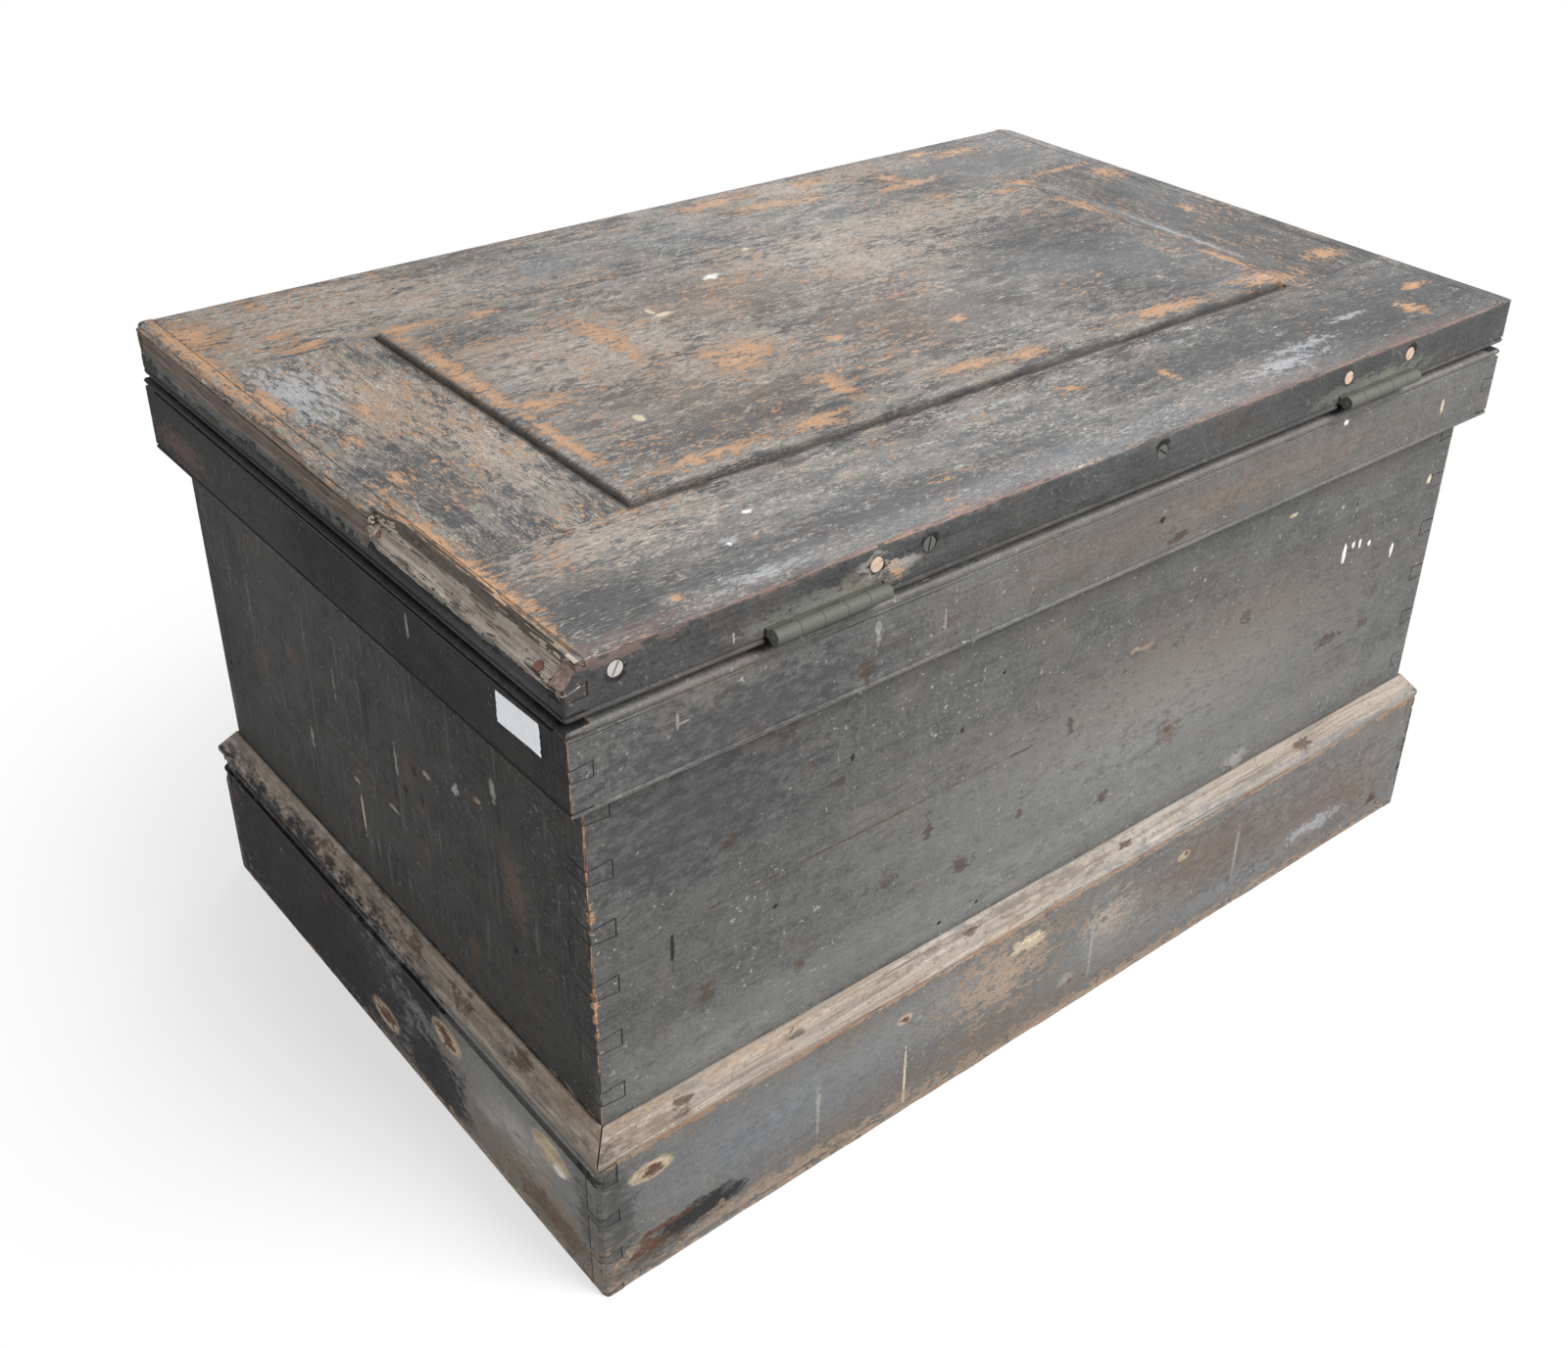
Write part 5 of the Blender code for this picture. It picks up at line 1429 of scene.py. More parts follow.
def add_ring(bm: BMesh, sides: int, radius: float, height: float, shake: float = 0.0,
             seed: float = 0.0) -> list[BMVert]:
    """Adds a ring of corners round the Z axis.

    Args:
        bm: The mesh.
        sides: How many corners the ring has.
        radius: Its radius.
        height: Its height.
        shake: How uneven the radius is, as a share of it.
        seed: What makes one uneven ring differ from another.

    Returns:
        The ring's corners in order.
    """
    ring = []
    for i in range(sides):
        turn = 2 * math.pi * i / sides
        direction = Vector((math.cos(turn), math.sin(turn), 0))
        reach = radius * (1 + shake * noise.noise(direction * 1.6 + Vector((seed, 0, seed))))
        ring.append(bm.verts.new(direction * reach + Vector((0, 0, height))))
    return ring


def stack_rings(bm: BMesh, rings: list[list[BMVert]]) -> None:
    """Joins rings, from the top one down, into one closed body.

    Args:
        bm: The mesh.
        rings: The rings.
    """
    bm.faces.new(rings[0])
    for upper, lower in zip(rings, rings[1:]):
        count = len(upper)
        for i in range(count):
            bm.faces.new((upper[i], lower[i], lower[(i + 1) % count], upper[(i + 1) % count]))
    bm.faces.new(list(reversed(rings[-1])))


@dataclass
class Fastener:
    """A screw or a nail with its shank in the wood."""

    name: str
    body: str
    place: Vector
    out: tuple[float, float, float]  # where the head faces
    radius: float
    finish: Finish
    turn: float = 0.0  # how far its slot is turned, in degrees
    length: float = 2.5  # how long its shank is, in head radii
    node: str | None = None
    slot = "dark_iron"

    def build(self) -> Object:
        """Makes the fastener and sets it in its place.

        Returns:
            The new piece.
        """
        bm = bmesh.new()
        self.model(bm)
        bmesh.ops.recalc_face_normals(bm, faces=bm.faces)
        turn = Matrix.Rotation(math.radians(self.turn), 3, "Z")
        matrix = Vector(self.out).to_track_quat("Z", "Y").to_matrix() @ turn
        for vert in bm.verts:
            vert.co = matrix @ vert.co + self.place
        piece = place_piece(to_mesh(bm, self.name), self.body, self.finish)
        if self.node:
            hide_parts(self.node)
        return piece

    def model(self, bm: BMesh) -> None:
        """Models it with its head's top at the middle, facing up."""
        raise NotImplementedError


class Screw(Fastener):
    """A screw with a countersunk head."""

    slot = "screw_steel"

    def model(self, bm: BMesh) -> None:
        """Models the head with a filed slot, and the shank.

        Args:
            bm: The mesh.
        """
        r = self.radius
        stack_rings(bm, [add_ring(bm, 28, r * wide, r * high, 0.012, self.turn) for wide, high in
                         ((0.9, 0.0), (0.985, -0.035), (1.0, -0.13), (0.5, -0.62), (0.46, -self.length))])
        geometry = whole(bm)
        for side in (-1, 1):
            geometry = cut(bm, geometry, Vector((0, side * r * 0.12, 0)), 1)
        bm.normal_update()
        middles = {f: f.calc_center_median() for f in bm.faces if abs(f.normal.z) > 0.9}
        floor = [f for f, middle in middles.items() if abs(middle.y) < r * 0.05 and abs(middle.z) < r * 0.01]
        bmesh.ops.inset_region(bm, faces=floor, thickness=r * 0.02)
        for vert in {v for f in floor for v in f.verts}:
            vert.co.z -= r * 0.24


class Nail(Fastener):
    """A nail with a hammered, uneven head."""

    def model(self, bm: BMesh) -> None:
        """Models the head and the thin shank.

        Args:
            bm: The mesh.
        """
        r, seed = self.radius, self.place.x * 31 + self.place.z * 57
        stack_rings(bm, [add_ring(bm, 12, r * wide, r * high, shake, seed) for wide, high, shake in
                         ((0.35, 0.16, 0.3), (0.75, 0.11, 0.3), (1.0, -0.04, 0.28), (0.96, -0.22, 0.28),
                          (0.42, -0.35, 0.1), (0.36, -self.length, 0.1))])


@dataclass
class Dab:
    """A small dab or drip of thick paint on a board."""

    name: str
    place: tuple[float, float, float]
    reach: tuple[float, float]  # half its length along X and along Z, in metres
    finish: Finish

    def build(self) -> Object:
        """Makes the dab as a low, ragged dome on the case's back wall.

        Returns:
            The new piece.
        """
        bm = bmesh.new()
        stack_rings(bm, [add_ring(bm, 22, wide, high, 0.55, self.place[0]) for wide, high in
                         ((0.45, 0.00042), (0.8, 0.00034), (1.0, 0.00005), (1.0, -0.0003))])
        for vert in bm.verts:
            x, z, lift = vert.co
            vert.co = from_chest(*self.place) + Vector((x * self.reach[0], lift, z * self.reach[1]))
        bmesh.ops.recalc_face_normals(bm, faces=bm.faces)
        return place_piece(to_mesh(bm, self.name), "case", self.finish, 60.0)


@dataclass
class Tape:
    """The strip of paper tape on the end of the band, left blank."""

    finish: Finish
    # its corners along Y and Z, in millimetres, from its upper front one round
    corners: tuple[tuple[float, float], ...] = ((234.5, 489.5), (284.0, 491.5), (285.5, 468.0),
                                                (233.5, 466.0))
    level: float = 481.5  # the X of the band's face, in millimetres
    columns: int = 24  # how many squares its mesh has along it
    rows: int = 12

    def build(self) -> Object:
        """Makes the tape as a thin sheet with torn ends and a lifted corner.

        Returns:
            The new piece.
        """
        bm = bmesh.new()
        sheets = [[[bm.verts.new(self.spot(i / self.columns, j / self.rows, layer))
                    for j in range(self.rows + 1)] for i in range(self.columns + 1)] for layer in (0, 1)]
        for i in range(self.columns):
            for j in range(self.rows):
                for layer in sheets:
                    bm.faces.new((layer[i][j], layer[i + 1][j], layer[i + 1][j + 1], layer[i][j + 1]))
        rim = [(i, 0) for i in range(self.columns)] + [(self.columns, j) for j in range(self.rows)]
        rim += [(i, self.rows) for i in range(self.columns, 0, -1)]
        rim += [(0, j) for j in range(self.rows, 0, -1)]
        for (i, j), (k, m) in zip(rim, rim[1:] + rim[:1]):
            bm.faces.new((sheets[0][i][j], sheets[0][k][m], sheets[1][k][m], sheets[1][i][j]))
        bmesh.ops.recalc_face_normals(bm, faces=bm.faces)
        return place_piece(to_mesh(bm, "tape"), "case", self.finish, 50.0)

    def spot(self, u: float, v: float, layer: int) -> Vector:
        """Finds a point of the sheet.

        Args:
            u: Its share of the way along the tape.
            v: Its share of the way down.
            layer: 0 on the underside, 1 on the upper one.

        Returns:
            The point in the scene.
        """
        torn = noise.noise(Vector((v * 9, u > 0.5, 2))) * 1.1
        torn += noise.noise(Vector((v * 31, u > 0.5, 5))) * 0.7
        along = u + torn / 50 * abs(u - 0.5) * 2
        upper_front, upper_back, lower_back, lower_front = self.corners
        top = [upper_front[i] + (upper_back[i] - upper_front[i]) * along for i in range(2)]
        low = [lower_front[i] + (lower_back[i] - lower_front[i]) * along for i in range(2)]
        y, z = (top[i] + (low[i] - top[i]) * v for i in range(2))
        ripple = 0.07 * (noise.noise(Vector((y, z, 0)) / 7) + 1)
        lift = 0.5 * smoothstep(0.72, 1.0, u) * smoothstep(0.5, 1.0, v) + ripple
        return from_chest(self.level + 0.03 + lift + 0.18 * layer, y, z)


# The studio


@dataclass
class Studio:
    """The camera at the photograph's place, soft lamps, a pale floor and a white background."""

    azimuth: float = 138.657
    elevation: float = 31.447  # how high it looks down from, in degrees
    roll: float = 2.0345
    distance: float = 1.5337
    target: Vector = field(default_factory=lambda: Vector((0.0376, 0.0628, 0.29)) + CASE_SHIFT)
    focal: float = 1796.9  # the focal length in pixels of the photograph
    centre: tuple[float, float] = (877.7, 633.2)  # where the lens's axis meets the photograph, in pixels
    floor: float = 12.0  # how far the floor reaches from the middle

    def build(self) -> None:
        """Sets up the camera, the lamps, the floor and the world."""
        scene = bpy.context.scene
        scene.view_settings.view_transform = "Standard"
        self.add_camera(scene)
        self.add_lamps(scene)
        self.add_floor(scene)
        self.add_world(scene)

    def add_camera(self, scene: Scene) -> None:
        """Adds the camera that the photograph was fitted to.

        Args:
            scene: The scene.
        """
        turn, tilt = math.radians(self.azimuth), math.radians(self.elevation)
        back = Vector((math.sin(turn) * math.cos(tilt), -math.cos(turn) * math.cos(tilt), math.sin(tilt)))
        right = Vector((0, 0, 1)).cross(back).normalized()
        up = back.cross(right)
        roll = math.radians(self.roll)
        cosine, sine = math.cos(roll), math.sin(roll)
        right, up = right * cosine + up * sine, up * cosine - right * sine
        data = bpy.data.cameras.new("camera")
        data.sensor_width = 36.0
        data.lens = self.focal / PHOTO_WIDTH * data.sensor_width
        data.shift_x = (PHOTO_WIDTH / 2 - self.centre[0]) / PHOTO_WIDTH
        data.shift_y = (self.centre[1] - PHOTO_HEIGHT / 2) / PHOTO_WIDTH
        camera = bpy.data.objects.new("camera", data)
        matrix = Matrix((right, up, back)).transposed().to_4x4()
        matrix.translation = self.target + back * self.distance
        camera.matrix_world = matrix
        scene.collection.objects.link(camera)
        scene.camera = camera

    def add_lamps(self, scene: Scene) -> None:
        """Adds a large soft key lamp behind the chest, and weak ones at its end and in front of it.

        Args:
            scene: The scene.
        """
        for name, place, size, energy in (("key", (-0.75, 2.2, 2.7), 2.0, 198.0),
                                          ("fill", (2.7, 0.3, 1.0), 1.5, 30.0),
                                          ("front", (-2.2, -2.2, 1.3), 1.5, 34.0)):
            data = bpy.data.lights.new(name, "AREA")
            data.size = size
            data.energy = energy
            lamp = bpy.data.objects.new(name, data)
            lamp.location = place
            lamp.rotation_mode = "QUATERNION"
            lamp.rotation_quaternion = (Vector((0, 0, 0.3)) - Vector(place)).to_track_quat("-Z", "Y")
            scene.collection.objects.link(lamp)

    def add_floor(self, scene: Scene) -> None:
        """Adds a wide pale floor that fades into the white background.

        Args:
            scene: The scene.
        """
        mesh = bpy.data.meshes.new("floor")
        corners = [(x * self.floor, y * self.floor, 0) for x, y in ((-1, -1), (1, -1), (1, 1), (-1, 1))]
        mesh.from_pydata(corners, [], [(0, 1, 2, 3)])
        material = bpy.data.materials.new("floor")
        material.use_nodes = True
        g = Graph(material.node_tree)
        shader = g.shader()
        shader.inputs["Roughness"].default_value = 0.9
        seen = self.seen(g)
        g.feed(shader.inputs["Base Color"], g.mix(seen, (0.25, 0.25, 0.25), (0.8, 0.8, 0.8)))
        light = g.node("Emission")
        light.inputs["Strength"].default_value = 1.0
        far = g.vector("LENGTH", g.node("TexCoord").outputs["Object"])
        self.mix_shaders(g, g.span(far, 0.4, 0.95, 0.55, 1.0) * seen, shader, light)
        mesh.materials.append(material)
        floor = bpy.data.objects.new("floor", mesh)
        scene.collection.objects.link(floor)

    def seen(self, g: Graph) -> Value:
        """Tells rays that show the background from those that light the chest.

        Args:
            g: The graph of the floor or the world.

        Returns:
            1 for a ray that shows it, 0 for another.
        """
        path = g.node("LightPath").outputs
        shown = g.math("MAXIMUM", path["Is Camera Ray"], path["Is Glossy Ray"])
        return g.math("MAXIMUM", shown, path["Is Transmission Ray"])

    def mix_shaders(self, g: Graph, share: Value, first: Node, second: Node) -> None:
        """Mixes two shaders and links them to the tree's output.

        Args:
            g: The material's graph.
            share: How much of the second one there is.
            first: The first shader.
            second: The second shader.
        """
        both = g.node("MixShader", share, first.outputs[0], second.outputs[0])
        g.feed(next(n for n in g.tree.nodes if n.type.startswith("OUTPUT")).inputs["Surface"],
               both.outputs[0])

    def add_world(self, scene: Scene) -> None:
        """Makes the background white where it is seen, and a dim soft sky where it lights.

        Args:
            scene: The scene.
        """
        world = bpy.data.worlds.new("studio")
        world.use_nodes = True
        scene.world = world
        g = Graph(world.node_tree)
        plain = world.node_tree.nodes["Background"]
        plain.inputs["Color"].default_value = (0.93, 0.96, 1.0, 1.0)
        plain.inputs["Strength"].default_value = 0.22
        white = g.node("Background")
        white.inputs["Color"].default_value = (1.0, 1.0, 1.0, 1.0)
        self.mix_shaders(g, self.seen(g), plain, white)


# What the photograph shows on the faces, in millimetres from the chest's middle

MARKS = (
    *marks_on(Face.TOP, {
        Stain.SMOKE: (
            (239, 34, 42, 26), (232, 121, 95, 30), (-236, 34, 115, 90), (90, -105, 60, 22),
            (300, -120, 40, 30), (-60, 60, 90, 40), (-360, -255, 110, 52), (230, -290, 60, 14),
            (190, 278, 130, 20), (430, 276, 50, 40), (446, 190, 30, 40), (-330, 262, 130, 34),
            (-170, 240, 110, 26), (432, 60, 34, 44), (-410, 0, 62, 150)),
        Stain.UMBER: ((76, -75, 150, 62), (180, 60, 110, 60), (0, 40, 90, 50)),
        Stain.BLUE: ((-310, 150, 30, 14), (120, -238, 145, 34), (60, 300, 220, 12), (-372, -35, 7, 150)),
        Stain.ROSY: (
            (222, -40, 70, 50), (150, 20, 50, 30), (-140, -135, 150, 30), (-95, -75, 60, 30),
            (370, -255, 105, 48), (-180, -285, 100, 22), (285, -220, 26, 14), (385, 205, 60, 20),
            (372, 40, 22, 66), (405, -105, 12, 20)),
        Stain.CHALK: (
            (-250, 272, 30, 4), (-330, 254, 18, 3), (40, 205, 26, 2.4), (-200, 286, 30, 6),
            (317, 253, 4, 4), (330, 300, 22, 4), (442, -115, 20, 40), (-371, 20, 1.6, 60)),
        Stain.TAN: (
            (300, -95, 30, 12), (60, -105, 20, 10), (469, 296, 4, 14), (200, 228, 9, 5), (395, -60, 26, 60)),
        Stain.PINK: ((420, 306, 60, 5),),
        Stain.FRESH: (
            (150, 36, 20, 14), (132, 22, 18, 16), (160, 14, 12, 7), (318, -176, 26, 11), (331, -60, 7, 90),
            (330, 70, 5, 60), (315, 15, 22, 12), (-338, 160, 32, 15), (-352, 103, 9, 24),
            (-205, 159, 38, 8), (264, 155, 34, 7), (170, 157, 24, 9), (8, 149, 26, 7), (-42, 158, 22, 6),
            (-355, -166, 13, 6), (-352, -80, 9, 26), (-314, -147, 12, 6), (257, -163, 12, 6),
            (-252, -175, 9, 10), (205, -60, 9, 44), (118, 115, 9, 20), (60, 45, 7, 6), (-48, 72, 10, 5),
            (-67, -291, 34, 9), (-110, -258, 40, 7), (-150, -246, 14, 6), (-261, -228, 30, 8),
            (-258, -254, 10, 14), (-180, -288, 18, 8), (-330, -297, 16, 6), (395, -296, 7, 9),
            (456, -260, 16, 26), (404, -222, 10, 6), (392, -194, 14, 7), (470, -200, 7, 95),
            (467, 130, 7, 34), (466, 190, 7, 40), (465, 236, 7, 24), (468, 268, 5, 14), (-420, -175, 32, 4),
            (-375, -280, 22, 7), (469, 214, 4, 56), (-30, 218, 9, 5), (-112, 243, 4, 9), (-390, 272, 8, 12),
            (-438, 244, 12, 5), (388, 292, 4, 4), (460, -110, 6, 24), (443, 52, 4, 9), (412, -60, 5, 14),
            (442, -20, 5, 8), (-440, 145, 18, 9), (-438, -15, 7, 9), (-458, -140, 12, 12)),
        Stain.PALE: ((-75, -60, 5, 18), (-95, -48, 8, 4)),
        Stain.CREAM: ((-7, -160, 5, 3), (140, -76, 9, 4), (146, -86, 3, 7), (267, 76.5, 4, 7)),
        Stain.WHITE: ((57.5, -121.6, 9, 4.5), (321, 257, 1.4, 2.4), (285.6, 228, 3, 3)),
    }),
    *marks_on(Face.BACK, {
        Stain.SMOKE: ((380, 380, 90, 40),),
        Stain.UMBER: ((-130, 300, 200, 50),),
        Stain.DUST: ((345, 172, 125, 17), (120, 166, 160, 9), (-60, 250, 260, 70), (0, 188, 440, 26)),
        # This grime row is a dark line along the wall just under the band: grime, and painted shade under the
        # band.
        Stain.GRIME: ((0, 434, 460, 5),),
        Stain.RUDDY: ((-105, 241, 11, 12),),
        Stain.TAN: ((-52, 344, 16, 2.6),),
        Stain.BROWN: (
            (354, 351, 5, 5), (262, 355, 6, 4), (287, 378, 5, 5), (373, 226, 7, 9), (292, 205, 5, 5),
            (70, 239, 3, 9), (-386, 281, 6, 6), (-324, 250, 14, 5), (-376, 249, 6, 5), (-192, 324, 6, 5),
            (-105, 243, 4, 4), (250, 300, 160, 0.9), (170, 270, 4, 6), (20, 300, 3, 7), (210, 240, 8, 6),
            (130, 220, 9, 7), (-30, 205, 6, 5)),
        Stain.PALE: ((-211, 166, 14, 8),),
        Stain.CREAM: ((-237, 406, 5, 1.6), (-441, 377, 3.5, 5)),
        Stain.PIT: (
            (101, 383, 2, 2), (314, 272, 2.4, 2.2), (247, 371, 2, 3), (151, 168, 2, 1.6),
            (111, 168, 2, 1.6), (402, 281, 1.5, 16), (141, 348, 2.6, 2.6)),
    }),
    *(Mark(Stain.FRESH, (465.0, 298.5, z), (reach, reach, high)) for z, reach, high in (
        (342, 3.0, 7), (330, 1.8, 4), (262, 2.6, 13), (240, 1.8, 8), (300, 1.4, 3), (205, 1.2, 4))),
    *marks_on(Face.END, {
        Stain.GRIME: (
            (120, 168, 160, 16), (-160, 172, 120, 12), (-269, 375, 9, 12), (6, 375, 9, 14),
            (60, 306, 22, 26), (-10, 232, 80, 16), (230, 200, 60, 40)),
        Stain.RUDDY: ((203, 303, 14, 22),),
        Stain.CHALK: ((128, 342, 2.4, 4),),
        Stain.TAN: ((162, 351, 5, 3),),
        Stain.BROWN: (
            (53, 316, 10, 15), (71, 250, 7, 8), (-141, 319, 8, 8), (0, 272, 310, 1), (70, 289, 7, 5),
            (130, 200, 10, 12), (-200, 280, 9, 14)),
        Stain.PALE: (
            (36, 310, 1.6, 14), (184, 375, 3, 8), (-120, 250, 2, 9), (85, 330, 5, 2.4), (20, 262, 8, 2),
            (-40, 252, 5, 2), (-60, 330, 1, 12)),
        Stain.CREAM: ((-38, 222, 1.4, 20),),
        Stain.PIT: (
            (-66, 216, 2.5, 3), (15, 210, 2.5, 3), (197, 244, 3, 3), (-282, 237, 3, 3), (48, 296, 3, 5),
            (66, 322, 3, 4), (74, 300, 2.4, 6)),
    }),
    *marks_on(Face.LID_BACK, {
        Stain.SMOKE: ((350, 460, 110, 24),),
        Stain.UMBER: ((262, 524, 34, 7), (-100, 470, 220, 18)),
        Stain.GRIME: ((120, 515, 130, 4),),
        Stain.GREEN: ((290, 521, 62, 8), (-290, 521, 60, 7)),
        Stain.PINK: (
            (440, 543, 40, 4.5), (325, 545, 26, 2.4), (150, 546.4, 60, 1.4), (-150, 546.4, 60, 1.4),
            (-330, 546.4, 60, 1.4)),
        Stain.FRESH: ((233, 527, 6, 5),),
        Stain.BROWN: ((-58, 450, 8, 5), (254, 454, 5, 8)),
        Stain.PALE: (
            (225, 528, 10, 4), (247.6, 532, 11, 9), (362, 521, 1, 5), (182, 467, 0.9, 8), (404, 478, 1, 5),
            (399, 475, 4, 0.8), (243, 481, 2.5, 8), (0, 496.5, 480, 0.8), (0, 438.4, 480, 0.9)),
        Stain.CREAM: ((-405, 466, 2, 8),),
        Stain.WHITE: ((-261, 491, 3, 2),),
        Stain.PIT: (
            (446.7, 531.4, 6.6, 6.6), (247.6, 532, 6.8, 6.8), (202, 534.7, 6.4, 6.4),
            (-26.8, 536, 6.4, 6.4), (-251, 532.7, 6.6, 6.6), (-334, 536.5, 6.6, 6.6), (-39, 473, 2.5, 2.5)),
    }),
    *marks_on(Face.LID_END, {
        Stain.SMOKE: ((250, 515, 60, 14),),
        Stain.RUDDY: ((-260, 460, 40, 12),),
        Stain.SCORCH: ((-47, 459, 24, 20),),
        Stain.PALE: ((0, 438.5, 300, 0.5), (0, 496.4, 300, 0.5), (120, 480, 1.8, 7)),
    }),
    *marks_on(Face.BASE_BACK, {
        Stain.UMBER: ((100, 30, 200, 18),),
        Stain.BLUE: ((330, 85, 110, 34), (-240, 30, 120, 18), (-330, 42, 60, 18)),
        Stain.DUST: ((150, 96, 120, 26), (-60, 60, 80, 30)),
        Stain.GRIME: ((466, 80, 14, 50),),
        Stain.RUDDY: ((-174, 84, 90, 34), (-330, 60, 90, 40)),
        Stain.SCORCH: ((397, 32, 44, 12),),
        Stain.ROSY: ((100, 80, 34, 20), (-40, 84, 22, 14)),
        Stain.CHALK: ((-330, 40, 24, 5),),
        Stain.TAN: (
            (0, 6, 480, 8), (300, 14, 180, 8), (458, 28, 24, 8), (89, 93, 50, 30), (0, 131, 470, 2.2)),
        Stain.BROWN: ((440, 20, 30, 8),),
        Stain.HALO: ((437, 105.6, 19, 9), (197, 105, 8, 5), (-135, 102, 8, 5)),
        Stain.KNOT: ((435, 105, 8, 5.5), (197, 105, 5, 3.4), (-435, 26, 6, 5)),
        Stain.RUST: ((441, 29, 13, 8), (425, 41, 26, 3)),
        Stain.PALE: (
            (8.7, 38, 9, 5), (284, 74, 3, 12), (284, 60, 1.6, 26), (-21, 60, 2, 30), (-214, 70, 2, 26)),
        Stain.CREAM: ((60, 110, 20, 8), (194, 42, 1.4, 32)),
    }),
    *marks_on(Face.BASE_END, {
        Stain.UMBER: ((180, 30, 110, 24),),
        Stain.DUST: ((215, 70, 110, 50),),
        Stain.GRIME: ((300, 70, 16, 50),),
        Stain.RUDDY: ((-278, 21, 20, 14),),
        Stain.SCORCH: ((-160, 66, 215, 95), (70, 30, 50, 40), (60, 110, 40, 20), (246, 98, 15, 8)),
        Stain.TAN: ((225, 60, 26, 5), (246, 29, 60, 19), (160, 4, 150, 6)),
        Stain.BROWN: ((246, 29, 44, 12),),
        Stain.HALO: ((99.6, 94, 22, 13), (250, 96, 25, 14), (-13, 32.5, 22, 12)),
        Stain.KNOT: ((99.6, 93, 13, 8), (-13, 32.5, 15, 8)),
        Stain.RUST: ((-110, 97, 4, 4), (-285, 99, 4, 4)),
        Stain.PALE: ((200, 76, 40, 18), (160, 60, 20, 8)),
        Stain.WHITE: ((262, 88, 6, 4),),
    }),
    *marks_on(Face.SILL_BACK, {
        Stain.UMBER: ((60, 150, 140, 5),),
        Stain.BLUE: ((-250, 137, 210, 5),),
        Stain.RUDDY: ((430, 143, 30, 8),),
        Stain.TAN: ((345, 152, 90, 3),),
        Stain.BROWN: (
            (405, 146, 8, 4), (300, 147, 6, 3), (120, 146, 9, 3), (-60, 148, 7, 3), (-300, 146, 10, 4)),
    }),
    *marks_on(Face.SILL_END, {
        Stain.UMBER: ((0, 145, 310, 14),),
        Stain.TAN: ((250, 153, 40, 3), (120, 153, 40, 2.5)),
        Stain.BROWN: ((205, 147, 12, 5), (120, 146, 14, 5), (40, 145, 12, 4), (-110, 145, 16, 6)),
    }),
)


def dressed(finish: Finish, node: str) -> Finish:
    """Gives one board its own copy of a finish, with the marks that lie on that board.

    The sides that the photograph hides get the marks of the ones opposite them.

    Args:
        finish: The finish.
        node: The board's node.

    Returns:
        The copy.
    """
    low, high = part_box(node)
    hidden = (mark.turned() for mark in MARKS if mark.centre[2] < 548
              and mark.stain not in (Stain.PIT, Stain.GREEN))
    own = tuple(mark for mark in (*MARKS, *hidden) if mark.touches(low, high))
    return replace(finish, name=f"{finish.name}_{node}", marks=own)


# Sub-assemblies

BODY_PAINT = PaintedWood("body_paint", dark=(0.045, 0.045, 0.044), light=(0.158, 0.155, 0.147), flecks=0.9)
BAND_PAINT = PaintedWood("band_paint", dark=(0.048, 0.049, 0.049), light=(0.178, 0.174, 0.166), thin=0.45,
                         arris=0.0006)
SKIRT_PAINT = PaintedWood("skirt_paint", dark=(0.02, 0.021, 0.022), light=(0.094, 0.093, 0.091),
                          arris=0.0009,
                          warm=(0.11, 0.088, 0.072), thin=0.4, gloss=0.12)
BASE_PAINT = PaintedWood("base_paint", thin=0.8, dark=(0.072, 0.072, 0.071), light=(0.22, 0.212, 0.2),
                         flecks=0.5)
# The end paints for the case walls, the band and the skirt are darker copies of the long sides' paints:
# partly the ends' own darker paint, partly painted shade.
END_PAINT_WITH_SHADE = PaintedWood("end_paint_with_shade", dark=(0.008, 0.008, 0.008), light=(0.066, 0.065, 0.062),
                        warm=(0.058, 0.045, 0.035),
                        streaks=0.7, pits=1.0, flecks=1.0, gloss=0.05)
BASE_END_PAINT = replace(BASE_PAINT, name="base_end_paint", gloss=0.05)
END_BAND_PAINT_WITH_SHADE = replace(BAND_PAINT, name="end_band_paint", dark=(0.008, 0.008, 0.008),
                         light=(0.036, 0.036, 0.035),
                         warm=(0.036, 0.03, 0.026), gloss=0.04)
END_SKIRT_PAINT_WITH_SHADE = replace(SKIRT_PAINT, name="end_skirt_paint_with_shade", dark=(0.012, 0.012, 0.012),
                          light=(0.044, 0.043, 0.042),
                          warm=(0.045, 0.036, 0.03), gloss=0.05)
RAIL_TOP = WeatheredTop("rail_top", left=0.5)
STILE_TOP = WeatheredTop("stile_top", left=0.52)
SKIRT_TOP = WeatheredTop("skirt_top", arris=0.0022, edge=0.75)
PANEL_TOP = WeatheredTop("panel_top", left=0.512)
SILL_WOOD = BareWood("sill_wood", early=(0.44, 0.385, 0.325), late=(0.225, 0.175, 0.14), arris=0.0016)
SPLIT_WOOD = BareWood("split_wood", early=(0.56, 0.49, 0.42), late=(0.32, 0.265, 0.22), grime=0.35,
                      arris=0.0)
TORN_WOOD = BareWood("torn_wood", early=(0.4, 0.29, 0.25), late=(0.22, 0.15, 0.13), grime=0.35, arris=0.0)
